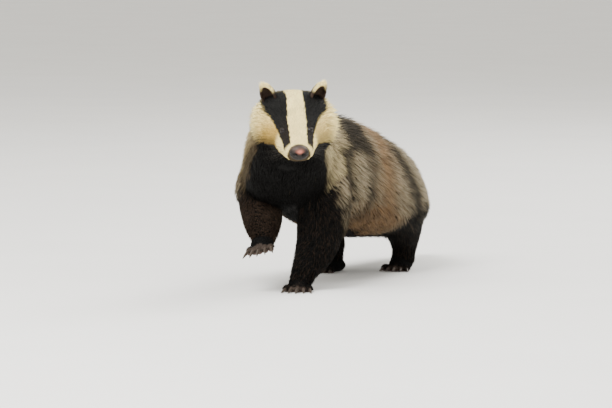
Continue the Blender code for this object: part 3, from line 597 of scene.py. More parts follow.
class Animal:
    """All the parts of the body, and how places lie to them together."""

    def __init__(self) -> None:
        fore = PawSizes(0.0205, -0.026, 0.018, 0.028, 0.022, 0.0072, math.radians(7.5), 0.024, 0.0030, 5.0)
        hind = PawSizes(0.021, -0.046, 0.016, 0.028, 0.019, 0.0072, math.radians(10.0), 0.014, 0.0028, 9.0)
        self.trunk = Trunk()
        self.head = Head()
        self.legs = [
            Leg("left_fore", np.array([
                (0.042, -0.108, 0.235, 0.022, 0.032), (0.053, -0.118, 0.200, 0.036, 0.046),
                (0.062, -0.134, 0.160, 0.042, 0.048), (0.065, -0.148, 0.115, 0.042, 0.043),
                (0.063, -0.158, 0.080, 0.038, 0.038), (0.055, -0.171, 0.052, 0.030, 0.031),
                (0.046, -0.182, 0.030, 0.0215, 0.0235), (0.043, -0.187, 0.014, 0.0190, 0.0205)])),
            Leg("right_fore", np.array([
                (-0.042, -0.108, 0.235, 0.022, 0.032), (-0.053, -0.118, 0.204, 0.037, 0.046),
                (-0.0565, -0.136, 0.168, 0.0385, 0.046), (-0.0455, -0.160, 0.133, 0.036, 0.038),
                (-0.029, -0.190, 0.109, 0.029, 0.031), (-0.017, -0.212, 0.094, 0.0195, 0.021),
                (-0.014, -0.222, 0.088, 0.0175, 0.019)])),
            Leg("left_hind", np.array([
                (0.050, 0.190, 0.165, 0.026, 0.044), (0.060, 0.206, 0.120, 0.038, 0.054),
                (0.057, 0.234, 0.080, 0.030, 0.036), (0.050, 0.254, 0.048, 0.0225, 0.026),
                (0.048, 0.251, 0.018, 0.0195, 0.023)])),
            Leg("right_hind", np.array([
                (-0.050, 0.180, 0.165, 0.026, 0.044), (-0.062, 0.168, 0.120, 0.038, 0.052),
                (-0.063, 0.155, 0.080, 0.029, 0.034), (-0.059, 0.168, 0.048, 0.022, 0.026),
                (-0.058, 0.166, 0.018, 0.0195, 0.023)])),
        ]
        self.paws = [
            Paw("left_fore", fore, *standing(0.043, -0.190, 18.0), True),
            Paw("right_fore", fore, *lifted(), False),
            Paw("left_hind", hind, *standing(0.048, 0.231, 8.0), True),
            Paw("right_hind", hind, *standing(-0.058, 0.145, -8.0), True),
        ]

    def nearest(self, points: Array) -> Array:
        """Which part each place is nearest to: 0 for the trunk, and 1 to 4 for the legs."""
        return np.stack([part.near(points).outside for part in (self.trunk, *self.legs)]).argmin(axis=0)

    def blend(self, parts: Sequence, points: Array, softness: float = 0.005) -> Near:
        """How places lie to several parts together.

        Each part's weight is e to the power of minus its distance past the nearest part's, over the softness.

        Args:
            parts: The parts to weigh up.
            points: Places in space.
            softness: How far one part's lie reaches into the next.

        Returns:
            The blend, with the smallest distance outside as its own.
        """
        found = [part.near(points) for part in parts]
        outside = np.stack([n.outside for n in found])
        nearest = outside.min(axis=0)
        weight = np.exp(-(outside - nearest) / softness)
        weight /= weight.sum(axis=0)
        out = unit(sum(w[:, None] * n.out for w, n in zip(weight, found)))
        lie = sum(w[:, None] * n.lie for w, n in zip(weight, found))
        lie = unit(lie - out * dot(lie, out))
        depth = sum(w * n.depth for w, n in zip(weight, found))
        return Near(nearest, out, lie, depth, found[0].unwrap)


def mesh_object(name: str, points: Array, faces: Array, shades: Array | None = None) -> bpy.types.Object:
    """A smooth mesh from whole arrays, moved to the model's own origin.

    Args:
        name: The piece's name.
        points: One row for each vertex.
        faces: One row of vertex numbers for each face, all of three or all of four.
        shades: A colour for each vertex, or nothing.

    Returns:
        The new object, in the scene.
    """
    mesh = bpy.data.meshes.new(name)
    mesh.vertices.add(len(points))
    mesh.vertices.foreach_set("co", (points - ORIGIN).astype(np.float32).ravel())
    mesh.loops.add(faces.size)
    mesh.loops.foreach_set("vertex_index", faces.astype(np.int32).ravel())
    mesh.polygons.add(len(faces))
    mesh.polygons.foreach_set("loop_start", np.arange(0, faces.size, faces.shape[1], dtype=np.int32))
    mesh.polygons.foreach_set("use_smooth", np.ones(len(faces), bool))
    if shades is not None:
        layer = mesh.attributes.new(SHADE, "FLOAT_COLOR", "POINT")
        rgba = np.hstack([shades, np.ones((len(shades), 1))])
        layer.data.foreach_set("color", rgba.astype(np.float32).ravel())
    mesh.update(calc_edges=True)
    mesh.validate()
    obj = bpy.data.objects.new(name, mesh)
    bpy.context.scene.collection.objects.link(obj)
    return obj


def add_piece(name: str, shell: Shell, finish: Material, stands_for: Sequence[str] = (),
              shades: Array | None = None) -> bpy.types.Object:
    """A finished piece on the body.

    Args:
        name: Its name.
        shell: Its points and faces.
        finish: Its material.
        stands_for: The nodes of the solids that it replaces.
        shades: A colour for each point, or nothing.

    Returns:
        The new object.
    """
    piece = mesh_object(name, *shell, shades)
    piece.data.materials.append(finish)
    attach(piece, "root")
    if stands_for:
        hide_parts(*stands_for)
    log.info("%s: %d triangles", name, len(shell[1]))
    return piece


def grid_faces(rows: int, columns: int) -> Array:
    """The four-cornered faces of a grid of points whose last column joins the first."""
    r, c = np.meshgrid(np.arange(rows - 1), np.arange(columns), indexing="ij")
    after = (c + 1) % columns
    low, high = r * columns, (r + 1) * columns
    return np.stack([low + c, low + after, high + after, high + c], axis=-1).reshape(-1, 4)


def halved(quads: Array) -> Array:
    """Each four-cornered face as two triangles, the first halves before the second ones."""
    return np.concatenate([quads[:, [0, 1, 2]], quads[:, [0, 2, 3]]])


def closed_grid(rows: Array) -> Shell:
    """A closed skin over a grid of rings: every quad as two triangles, and both ends closed to their middles.

    Args:
        rows: Rings by points by three, anticlockwise seen from the last ring's end.

    Returns:
        The points and the triangles.
    """
    rings, count = rows.shape[:2]
    faces = halved(grid_faces(rings, count))
    points = np.concatenate([rows.reshape(-1, 3), rows[:1].mean(axis=1), rows[-1:].mean(axis=1)])
    ring = np.arange(count)
    after = (ring + 1) % count
    start = np.full(count, rings * count)
    first = np.stack([after, ring, start], axis=1)
    last = np.stack([ring, after, np.full(count, 1 - count)], axis=1) + (rings - 1) * count
    last[:, 2] = rings * count + 1
    return points, np.concatenate([faces, first, last])


def outward(points: Array, faces: Array) -> Shell:
    """The mesh with its triangles facing out: the volume in it, a sum of triple products, is positive."""
    a, b, c = points[faces[:, 0]], points[faces[:, 1]], points[faces[:, 2]]
    return points, faces if (a * np.cross(b, c)).sum() > 0 else faces[:, ::-1]


def merge(shells: Sequence[Shell]) -> Shell:
    """Several meshes of triangles as one."""
    starts = np.cumsum([0] + [len(points) for points, _ in shells[:-1]])
    faces = [faces + start for (_, faces), start in zip(shells, starts)]
    return np.concatenate([points for points, _ in shells]), np.concatenate(faces)


def tube(path: Array, radii: Array, sides: int, tall: float = 1.0) -> Array:
    """Rings of a tube: at each place of the path, both ways across it by cosine, sine and radius."""
    along = unit(np.gradient(path, axis=0))
    side = unit(np.cross(along, UP))
    over = np.cross(side, along) * tall
    angle = turns(sides)
    across = np.cos(angle)[None, :, None] * side[:, None] + np.sin(angle)[None, :, None] * over[:, None]
    return path[:, None] + across * radii[:, None, None]


def ball(middle: Array, half: Array, rings: int, sides: int) -> Array:
    """Rings of a stretched sphere from its lowest ring to its highest."""
    lift = np.linspace(-math.pi / 2, math.pi / 2, rings + 2)[1:-1]
    angle = turns(sides)
    x = np.cos(lift)[:, None] * np.cos(angle)
    y = np.cos(lift)[:, None] * np.sin(angle)
    z = np.repeat(np.sin(lift)[:, None], sides, axis=1)
    return middle + np.stack([x, y, z], axis=-1) * half


def fused(shells: Sequence[Shell], voxel: float, smooth: int) -> Shell:
    """One closed skin round several closed meshes, by a voxel remesh, smoothed, as triangles.

    Args:
        shells: The points and triangles of each.
        voxel: The size of the remesh's cells.
        smooth: How many times each point moves towards the mean of its neighbours.

    Returns:
        The points and the triangles.
    """
    points, faces = merge(shells)
    obj = mesh_object("fusing", points, faces)
    remesh = obj.modifiers.new("remesh", "REMESH")
    remesh.mode = "VOXEL"
    remesh.voxel_size = voxel
    relax = obj.modifiers.new("smooth", "SMOOTH")
    relax.factor = 0.5
    relax.iterations = smooth
    corners = obj.modifiers.new("triangles", "TRIANGULATE")
    corners.quad_method = "SHORTEST_DIAGONAL"
    made = obj.evaluated_get(bpy.context.evaluated_depsgraph_get()).data
    points = np.zeros(len(made.vertices) * 3, np.float32)
    made.vertices.foreach_get("co", points)
    faces = np.zeros(len(made.loops), np.int32)
    made.loops.foreach_get("vertex_index", faces)
    bpy.data.objects.remove(obj)
    return points.reshape(-1, 3).astype(float) + ORIGIN, faces.reshape(-1, 3)


class Tone(Enum):
    """Colours of the coat and the bare skin, linear."""

    WHITE = (0.99, 0.83, 0.38)
    OCHRE = (0.52, 0.34, 0.08)
    STRIPE = (0.0100, 0.0098, 0.0092)
    # Black fur of chest, belly, legs and paws, darkened below the stripes' black as painted shade
    BLACK = (0.0026, 0.0024, 0.0022)
    SOOT = (0.013, 0.0110, 0.0090)
    BUFF = (0.25, 0.195, 0.120)
    CREAM = (0.52, 0.44, 0.295)
    RUST = (0.235, 0.138, 0.066)
    UMBER = (0.034, 0.021, 0.013)
    TOE = (0.028, 0.020, 0.015)

    @property
    def rgb(self) -> Array:
        """The colour as an array."""
        return np.array(self.value)


def mix(a: Array, b: Array, share: Array) -> Array:
    """Colours between a and b, row by row."""
    share = np.asarray(share)[..., None]
    return a * (1.0 - share) + b * share


@dataclass
class Markings:
    """Where the animal is black, white and grizzled.

    Along the head the tables give the blaze's middle line and half width, the lower edge of the black stripes
    and that of the white cheeks. Along the trunk the curves give the chest's half width, the belly's edge and
    the thigh's line, as sines of the angle up the side, and up the side they give where the bands lie.
    """

    along: Row = (-0.06, -0.03, 0.0, 0.022, 0.037, 0.050, 0.060, 0.070, 0.083, 0.100, 0.115, 0.130)
    middle: Row = (0, 0, -.001, -.002, -.002, -.0016, -.0013, -.0012, -.0012, -.0010, -.0007, -.0005)
    half: Row = (.020, .017, .0145, .0145, .0152, .0160, .0168, .0166, .0158, .0150, .0144, .0148)
    stripe: Row = (.020, .0225, .0255, .0262, .0222, .0165, .0117, .0075, .0030, .0012, .0004, -.0060)
    white: Row = (-.050, -.048, -.040, -.034, -.028, -.024, -.0195, -.0185, -.027, -.030, -.029, -.027)
    left_gold: float = 0.6
    chest_width: Curve = Curve((0.04, 0.11, 0.165, 0.22), (0.058, 0.067, 0.074, 0.078))
    belly_edge: Curve = Curve((0.2, 0.3, 0.36, 0.45), (0.50, 0.74, 0.84, 0.88))
    thigh_line: Curve = Curve((0.485, 0.50, 0.52, 0.565, 0.62), (-0.60, -0.27, -0.06, 0.07, 0.12))
    first_band: Curve = Curve((-0.65, -0.42, -0.13, 0.11, 0.30, 0.44, 0.61, 0.74, 0.90),
                              (0.262, 0.252, 0.241, 0.234, 0.225, 0.240, 0.278, 0.290, 0.318))
    second_band: float = 0.330
    saddle: float = 0.305
    third_band: Curve = Curve((0.20, 0.31, 0.44, 0.59, 0.74, 0.85),
                              (0.523, 0.508, 0.496, 0.487, 0.485, 0.488))
    rust_field: float = 0.396
    shoulder_edge: Curve = Curve((0.12, 0.133, 0.15, 0.166, 0.2), (-0.05, -0.22, -0.34, -0.48, -0.58))

    def head(self, head: Head, points: Array) -> tuple[Array, Array, Array]:
        """How black, how ochre and how shaded the head is at each place.

        Black is the band past the blaze and above the stripe's edge, and all under the white's own edge; it
        fades behind the ears and stops short of the sides there. The cheeks are ochre, less so upwards,
        outwards and on the left. Painted shade lies along their lower edge, under the ruff, and below the
        nose down to the chin; the same mask also holds the dark bare skin in a narrow ring round the nose.
        """
        local = head.to_local(points)
        wave = ripple(points, 0.010, 3) * 0.0009
        f = local[:, 1]
        tables = (self.middle, self.half, self.stripe, self.white)
        middle, half, lower, under = (np.interp(f, self.along, table) for table in tables)
        x, z = np.abs(local[:, 0] - middle) + wave, local[:, 2] + wave
        stripe = step_up(x - half, -0.0009, 0.0009) * step_up(z - lower, -0.0014, 0.0014)
        stripe *= (1.0 - step_up(f, 0.127, 0.134)) * (1.0 - 0.6 * step_up(-f, 0.01, 0.05))
        stripe *= 1.0 - step_up(x, 0.0550, 0.0600) * (1.0 - step_up(f, 0.014, 0.036))
        throat = 1.0 - step_up(z - under, -0.002, 0.002)
        cheek = window(f, (-0.010, 0.018), (0.066, 0.088)) * step_up(x, 0.016, 0.024)
        gold = np.where(local[:, 0] > 0, 1.0, self.left_gold)
        ochre = cheek * (1 - 0.45 * step_up(z - under, 0.014, 0.055)) * (1 - 0.70 * step_up(x, 0.054, 0.078))
        ochre = gold * (ochre + 0.02 + 0.20 * step_up(f, 0.02, 0.12))
        # Painted shade along the cheeks' lower edge, under the ruff
        shade = 0.9 * gold * cheek * bump(z - under, 0.002, 0.011)
        # Round the nose: the dark bare skin's own colour in a narrow ring, and painted shadow below it down
        # to the chin
        shade = np.maximum(shade, self.nose_skin_and_shadow(head, local))
        return np.maximum(stripe, throat), np.clip(ochre, 0, 1), np.clip(shade, 0, 1)

    @staticmethod
    def nose_skin_and_shadow(head: Head, local: Array) -> Array:
        """Full in a narrow ring round the nose, and fading out in a wider one that reaches the chin."""
        # The narrow ring is the dark bare skin's own colour; the wider one fades out, a faint brown above the
        # nose and a painted shadow below it down to the chin
        apart = (local - np.array(head.nose_place)) / np.array(head.nose_size)
        below = step_up(-apart[:, 2], 0.1, 0.6)
        apart /= np.where(apart[:, 2:] < 0, [1.05, 4.0, 1.75], 1.0)
        ring = np.linalg.norm(apart, axis=1)
        return np.maximum((1 - step_up(ring, 1.12, 1.32)) * (0.35 + below), 1 - step_up(ring, 1.08, 1.18))

    def bands(self, place: Array, sine: Array) -> Array:
        """How dark the three bands round the flanks and the patch between two of them are.

        They are bells along the trunk, whose places change with the sine of the angle up the side.
        """
        first = 1.05 * bump(place, self.first_band(sine), 0.019 + 0.006 * step_up(sine, 0.3, 0.6))
        second = 0.80 * bump(place, self.second_band + 0.07 * np.maximum(sine - 0.62, 0), 0.016)
        patch = 0.60 * bump(place, self.saddle, 0.020) * window(sine, (0.42, 0.56), (0.80, 0.92))
        return first + second + patch + bump(place, self.third_band(sine), 0.023)

    def trunk(self, trunk: Trunk, points: Array) -> tuple[Array, Array, Array]:
        """How black, how dark among the grey, and how rusty the trunk is at each place.

        Black is the throat and chest between the shoulders, the middle of the belly and the thighs. Dark are
        the bands, the rump, the low middle of the flanks, the right shoulder and both sides of the nape; the
        low front of the flanks is darker too, as painted shade. Rust lies between the last two bands, along
        the lower flank and on the right shoulder.
        """
        length, row, x, z = trunk.locate(points)
        wave = ripple(points, 0.05, 5)
        sine = z / np.where(z > 0, row[:, 13], row[:, 14])
        aside = np.abs(x)
        reach = self.chest_width(length)
        chest = step_up(-sine, -0.05, 0.22) * (1.0 - step_up(length, 0.22, 0.30))
        chest *= 1.0 - step_up(aside + 0.004 * wave, reach - 0.007, reach + 0.007)
        belly = step_up(-sine + 0.05 * wave, self.belly_edge(length), 0.97)
        belly *= window(length, (0.14, 0.20), (0.66, 0.70))
        thigh = step_up(self.thigh_line(length) - sine + 0.10 * wave, -0.22, 0.20)
        thigh *= window(length, (0.475, 0.50), (0.65, 0.69))
        place = length + 0.007 * wave
        dark = self.bands(place, sine) + 0.25 * step_up(length, 0.60, 0.66)
        # Painted shade: the low front of the flanks darker
        dark += 0.55 * step_up(-sine, 0.05, 0.45) * (1 - step_up(length, 0.21, 0.29))
        dark += 0.35 * bump(length, 0.42, 0.05) * window(-sine, (-0.35, 0.0), (0.25, 0.5))
        right_shoulder = step_up(-x, 0.03, 0.06) * (1 - step_up(length, 0.25, 0.35))
        dark += 0.80 * right_shoulder * step_up(-sine, -0.35, 0.15)
        nape = step_up(sine, 0.2, 0.5) * window(aside, (0.012, 0.020), (0.040, 0.055))
        dark += 0.8 * nape * (1 - step_up(length, 0.08, 0.16))
        rust = 0.90 * bump(place, self.rust_field + 0.05 * np.maximum(sine - 0.35, 0), 0.030)
        rust += step_up(-sine, 0.15, 0.6) * bump(length, 0.405, 0.065)
        rust += 0.35 * step_up(-x, 0.02, 0.06) * (length < 0.3)
        black = np.maximum(chest, np.maximum(belly, 0.62 * thigh))
        return np.clip(black, 0, 1), np.clip(dark, 0, 1), np.clip(rust, 0, 1)

    def shoulder(self, leg: Leg, points: Array) -> Array:
        """How grizzled a foreleg is: the left one's outer and rear face, and the right one's top."""
        if "fore" not in leg.name:
            return np.zeros(len(points))
        out = leg.near(points).out
        z = points[:, 2] + 0.008 * ripple(points, 0.03, 7)
        if leg.name.startswith("left"):
            behind = out[:, 1] + 0.1 * ripple(points, 0.03, 6) - self.shoulder_edge(z)
            return step_up(behind, -0.12, 0.25) * step_up(out[:, 0], 0.0, 0.4) * step_up(z, 0.100, 0.140)
        return step_up(-out[:, 0], 0.3, 0.7) * step_up(z, 0.158, 0.192)

    def skin(self, animal: Animal, points: Array, part: Array) -> Array:
        """The colour of the skin under the fur: the coat's own at its roots.

        Args:
            animal: The parts of the body.
            points: Places on the skin.
            part: 0 for the head, 1 for the trunk, 2 for the legs, 3 for the toes.

        Returns:
            One colour for each place.
        """
        black, ochre, shade = self.head(animal.head, points)
        face = mix(Tone.WHITE.rgb * 0.8, Tone.OCHRE.rgb, ochre * 0.6)
        # Painted shade along the cheeks' lower edge and below the nose, and the dark bare skin round the nose
        face = mix(face, Tone.UMBER.rgb * 0.6, 0.97 * shade)
        face = mix(face, Tone.STRIPE.rgb, black)
        black, dark, rust = self.trunk(animal.trunk, points)
        body = mix(mix(Tone.BUFF.rgb * 0.5, Tone.RUST.rgb * 0.5, rust), Tone.SOOT.rgb, dark * 0.8)
        body = mix(body, Tone.BLACK.rgb, black)
        leg = np.tile(Tone.BLACK.rgb, (len(points), 1))
        toe = Tone.TOE.rgb * (1 + 0.25 * ripple(points, 0.004, 8)[:, None])
        return np.select([(part == k)[:, None] for k in (0, 1, 2)], [face, body, leg], toe)


def quarter(unwrap: Array, number: int) -> Array:
    """An unwrap drawn into one quarter of the square, so that four limbs share it."""
    return (unwrap + np.array([number % 2, number // 2])) / 2


@dataclass
class Tufts:
    """A batch of tufts: each one's root, sizes, place on the unwrap and turn off the lie."""

    root: Array
    length: Array
    depth: Array
    width: Array
    unwrap: Array
    swirl: Array

    def __len__(self) -> int:
        return len(self.root)


# One tuft's faces, and the place of each of its points on its patch of the unwrap
TUFT_FACES = np.array([(0, 2, 1), (0, 1, 4), (0, 4, 3), (1, 2, 5), (1, 5, 4), (2, 0, 3), (2, 3, 5), (3, 4, 6),
                       (4, 5, 6), (5, 3, 6)])
TUFT_SPOTS = np.array([(0, 0), (0.8, 0), (0.4, 0.1), (0, 0.5), (0.8, 0.5), (0.4, 0.6), (0.4, 1)])


@dataclass
class Coat:
    """Grows flat tapered tufts on the skin and builds them as meshes."""

    animal: Animal
    finish: Material
    seed: int = 7
    sink: float = 0.0012
    rises: Row = (0.65, 0.35)
    steepest: float = 0.9
    middle_lean: float = 0.35
    widths: Row = (0.80, 0.90)
    ridge: float = 0.5
    roll: float = 0.35
    most: int = 18400

    def __post_init__(self) -> None:
        self.draw = np.random.default_rng(self.seed)

    def scatter(self, points: Array, faces: Array, spacing: Callable[[Array], Array]) -> tuple[Array, Array]:
        """Roots spread over triangles, as many on each as its area over the square of the spacing there.

        Args:
            points: The skin's points.
            faces: Its triangles.
            spacing: The distance between roots at given places; infinite where none grow.

        Returns:
            The roots and the triangle of each.
        """
        a, b, c = points[faces[:, 0]], points[faces[:, 1]], points[faces[:, 2]]
        area = 0.5 * np.linalg.norm(np.cross(b - a, c - a), axis=1)
        amount = area / spacing((a + b + c) / 3) ** 2
        total = np.cumsum(amount)
        count = int(total[-1])
        pick = np.searchsorted(total, (np.arange(count) + self.draw.uniform(0, 1, count)) / count * total[-1])
        pick = np.minimum(pick, len(faces) - 1)
        u, v = self.draw.uniform(0, 1, (2, count))
        over = u + v > 1
        u, v = np.where(over, 1 - u, u)[:, None], np.where(over, 1 - v, v)[:, None]
        return a[pick] * (1 - u - v) + b[pick] * u + c[pick] * v, pick

    def spines(self, tufts: Tufts, parts: Sequence, cell: float, gather: float) -> tuple[Array, Array, Array]:
        """The middle line of each tuft and the way out of the body at each of its rings.

        From its root each tuft takes steps along the lie of the coat, each rising by a share of the coat's
        depth, and the tips of those whose roots share a cell lean together.

        Args:
            tufts: The tufts.
            parts: The parts whose lie they follow.
            cell: The size of the cells in which they gather, in metres.
            gather: How far the tips lean towards their cell's mean, as a share.

        Returns:
            Places and ways out at root, middle and tip, both tufts by three by three, and a number of 0 to 1
            that the tufts of one cell share.
        """
        place = tufts.root
        spine, ways = [], []
        for k in range(3):
            here = self.animal.blend(parts, place)
            if k == 0:
                spine.append(place - here.out * self.sink)
                ways.append(here.out)
                continue
            turn = tufts.swirl[:, None]
            lie = here.lie * np.cos(turn) + np.cross(here.out, here.lie) * np.sin(turn)
            rise = np.minimum(tufts.depth * self.rises[k - 1], self.steepest * tufts.length * 0.5)
            run = np.sqrt((tufts.length * 0.5) ** 2 - rise**2)
            place = place + lie * run[:, None] + here.out * rise[:, None]
            spine.append(place)
            ways.append(here.out)
        spine, ways = np.stack(spine, axis=1), np.stack(ways, axis=1)
        wavy = tufts.root + 0.3 * cell * ripple(tufts.root, 3 * cell, 9)[:, None]
        keys = np.floor(wavy / cell).astype(np.int64) @ np.array([73856093, 19349663, 83492791])
        _, group = np.unique(keys, return_inverse=True)
        count = np.bincount(group).astype(float)
        for k, lean in ((1, self.middle_lean * gather), (2, gather)):
            mean = np.stack([np.bincount(group, spine[:, k, i]) / count for i in range(3)], axis=1)[group]
            across = mean - spine[:, k]
            across -= ways[:, k] * dot(across, ways[:, k])
            spine[:, k] += across * lean
        return spine, ways, self.draw.uniform(0, 1, len(count))[group]

    def build(self, name: str, tufts: Tufts, spine: Array, ways: Array, shades: Array, slot: str) -> None:
        """Meshes of three-sided tapered tufts: two edges and a low ridge at each ring, one point at the tip.

        Args:
            name: The pieces' name; a number follows where there are several.
            tufts: The tufts.
            spine: Their middle lines.
            ways: The ways out of the body along them.
            shades: A colour at each ring.
            slot: Not used.
        """
        along = unit(np.gradient(spine, axis=1))
        side = unit(np.cross(along, ways))
        roll = self.draw.normal(0, self.roll, len(tufts))[:, None, None]
        over = np.cross(side, along)
        side, over = side * np.cos(roll) + over * np.sin(roll), over * np.cos(roll) - side * np.sin(roll)
        half = tufts.width[:, None, None] / 2 * np.array(self.widths)[None, :, None]
        body = spine[:, :-1]
        side, over = side[:, :-1] * half, over[:, :-1] * half
        corners = np.stack([body - side, body + side, body + over * self.ridge], axis=2)
        points = np.concatenate([corners.reshape(len(tufts), -1, 3), spine[:, -1:]], axis=1)
        colours = np.concatenate([np.repeat(shades[:, :-1], 3, axis=1), shades[:, -1:]], axis=1)
        size = points.shape[1]
        order = np.argsort(tufts.unwrap[:, 1], kind="stable")
        chunks = np.array_split(order, max(1, math.ceil(len(order) / self.most)))
        for number, chunk in enumerate(chunks):
            label = name if len(chunks) == 1 else f"{name}_{number + 1}"
            faces = TUFT_FACES[None] + np.arange(len(chunk))[:, None, None] * size
            shell = points[chunk].reshape(-1, 3), faces.reshape(-1, 3)
            piece = add_piece(label, shell, self.finish, (), colours[chunk].reshape(-1, 3))
            flat = tufts.unwrap[chunk]
            flat = (flat - flat.min(axis=0)) / np.maximum(np.ptp(flat, axis=0), 1e-6) * 0.98 + BAKE_EDGE
            corner = flat[:, None, :] + TUFT_SPOTS[None, :, :] * BAKE_PATCH
            layer = piece.data.uv_layers.new(name=BAKE_MAP)
            layer.uv.foreach_set("vector", corner[:, TUFT_FACES.ravel()].astype(np.float32).ravel())


@dataclass
class Value:
    """A socket in a material's nodes; arithmetic on it adds Math nodes."""

    recipe: "Recipe"
    socket: Socket

    def _math(self, operation: str, first: "Value | float", second: "Value | float") -> "Value":
        """One Math node on two values."""
        node = self.recipe.node("ShaderNodeMath", {"operation": operation}, {0: first, 1: second})
        return Value(self.recipe, node.outputs[0])

    def __add__(self, other: "Value | float") -> "Value":
        """This plus other."""
        return self._math("ADD", self, other)

    def __rsub__(self, other: float) -> "Value":
        """Other minus this."""
        return self._math("SUBTRACT", other, self)

    def __mul__(self, other: "Value | float") -> "Value":
        """This times other."""
        return self._math("MULTIPLY", self, other)


class Recipe:
    """The nodes of one Principled material."""

    def __init__(self, name: str, constants: dict[str, float | tuple]) -> None:
        self.material = bpy.data.materials.new(name)
        self.material.use_nodes = True
        self.tree = self.material.node_tree
        self.shader = self.tree.nodes["Principled BSDF"]
        for socket, value in constants.items():
            self.shader.inputs[socket].default_value = value

    def node(self, kind: str, settings: dict, inputs: dict) -> bpy.types.Node:
        """Adds a node.

        Args:
            kind: Its type.
            settings: Its own properties, set first.
            inputs: Values, sockets or other numbers, by the socket's name or number.

        Returns:
            The node.
        """
        made = self.tree.nodes.new(kind)
        for name, value in settings.items():
            setattr(made, name, value)
        for key, value in inputs.items():
            self.feed(made.inputs[key], value)
        return made

    def feed(self, socket: Socket, value: object) -> None:
        """Links a socket or a Value to an input, or sets it to a number."""
        if isinstance(value, Value):
            value = value.socket
        if isinstance(value, Socket):
            self.tree.links.new(value, socket)
        else:
            socket.default_value = value

    def place(self) -> Socket:
        """Places on the object, in metres."""
        return self.node("ShaderNodeTexCoord", {}, {}).outputs["Object"]

    def stretched(self, scale: Row) -> Socket:
        """Places on the object, scaled along each axis."""
        return self.node("ShaderNodeMapping", {}, {"Vector": self.place(), "Scale": scale}).outputs[0]

    def noise(self, scale: float, detail: float = 3.0, at: Socket | None = None) -> Value:
        """Noise of 0 to 1 with the given number of waves a metre."""
        inputs = {"Vector": at or self.place(), "Scale": scale, "Detail": detail}
        node = self.node("ShaderNodeTexNoise", {}, inputs)
        return Value(self, node.outputs["Fac"])

    def cells(self, scale: float) -> Value:
        """Distance to the nearest of scattered seeds."""
        node = self.node("ShaderNodeTexVoronoi", {}, {"Vector": self.place(), "Scale": scale})
        return Value(self, node.outputs["Distance"])

    def blended(self, first: object, second: object, share: "Value | float",
                way: str = "MIX") -> Socket:
        """Two colours mixed by a share."""
        settings = {"data_type": "RGBA", "blend_type": way}
        return self.node("ShaderNodeMix", settings, {0: share, 6: first, 7: second}).outputs[2]

    def tinted(self, share: Value) -> None:
        """Feeds the shader's colour with the one painted on the piece's own points, times a value."""
        painted = self.node("ShaderNodeAttribute", {"attribute_name": SHADE}, {}).outputs["Color"]
        grey = self.node("ShaderNodeCombineColor", {}, {0: share, 1: share, 2: share}).outputs[0]
        self.colour(self.blended(painted, grey, 1.0, "MULTIPLY"))

    def relief(self, height: Value, distance: float, strength: float = 1.0) -> None:
        """Feeds the shader's normal with a bump."""
        node = self.node("ShaderNodeBump", {}, {"Height": height, "Distance": distance, "Strength": strength})
        self.tree.links.new(node.outputs["Normal"], self.shader.inputs["Normal"])

    def colour(self, socket: object) -> None:
        """Feeds the shader's colour."""
        self.feed(self.shader.inputs["Base Color"], socket)

    def rough(self, value: Value) -> None:
        """Feeds the shader's roughness."""
        self.feed(self.shader.inputs["Roughness"], value)


@dataclass(frozen=True)
class FurFinish:
    """Dull hair: the tufts' own colours with a little change from clump to clump."""

    name: str = "fur"
    roughness: float = 0.75
    specular: float = 0.08

    def make(self) -> Material:
        """The material."""
        recipe = Recipe(self.name, {"Roughness": self.roughness, "Specular IOR Level": self.specular})
        recipe.tinted(recipe.noise(70.0) * 0.5 + 0.75)
        return recipe.material


@dataclass(frozen=True)
class HideFinish:
    """Skin under short fur: its markings, with fine streaks of hair in relief."""

    name: str = "hide"

    def make(self) -> Material:
        """The material."""
        recipe = Recipe(self.name, {"Specular IOR Level": 0.12})
        streaks = recipe.noise(900.0, 4.0, recipe.stretched((1.0, 0.25, 0.6)))
        recipe.tinted(streaks * 0.7 + 0.6)
        recipe.rough(recipe.noise(60.0) * 0.2 + 0.65)
        recipe.relief(streaks, 0.0006)
        return recipe.material


@dataclass(frozen=True)
class NoseFinish:
    """Moist pebbled skin, in the colours painted on it."""

    name: str = "nose_skin"

    def make(self) -> Material:
        """The material."""
        recipe = Recipe(self.name, {"Specular IOR Level": 0.20, "Coat Roughness": 0.25, "Coat Weight": 0.05})
        pebbles = recipe.cells(900.0)
        recipe.tinted(pebbles * 0.5 + 0.75)
        recipe.rough(recipe.noise(300.0) * 0.25 + 0.45)
        recipe.relief(1.0 - pebbles, 0.0004, 0.6)
        return recipe.material


@dataclass(frozen=True)
class EyeFinish:
    """A glossy eye, nearly black, a little browner in places."""

    name: str = "eye_gloss"

    def make(self) -> Material:
        """The material."""
        recipe = Recipe(self.name, {"Roughness": 0.06, "Specular IOR Level": 0.25})
        dark, brown = (0.002, 0.0015, 0.0015, 1), (0.012, 0.006, 0.004, 1)
        recipe.colour(recipe.blended(dark, brown, recipe.noise(400.0)))
        return recipe.material


@dataclass(frozen=True)
class HornFinish:
    """Worn horn: dark brown with paler streaks, and scratches in relief."""

    name: str = "claw_horn"

    def make(self) -> Material:
        """The material."""
        recipe = Recipe(self.name, {"Specular IOR Level": 0.45})
        streaks = recipe.noise(500.0, 5.0, recipe.stretched((1.0, 0.15, 1.0)))
        recipe.colour(recipe.blended((0.011, 0.008, 0.006, 1), (0.070, 0.051, 0.036, 1), streaks))
        recipe.rough(streaks * 0.3 + 0.3)
        recipe.relief(streaks, 0.0003, 0.5)
        return recipe.material


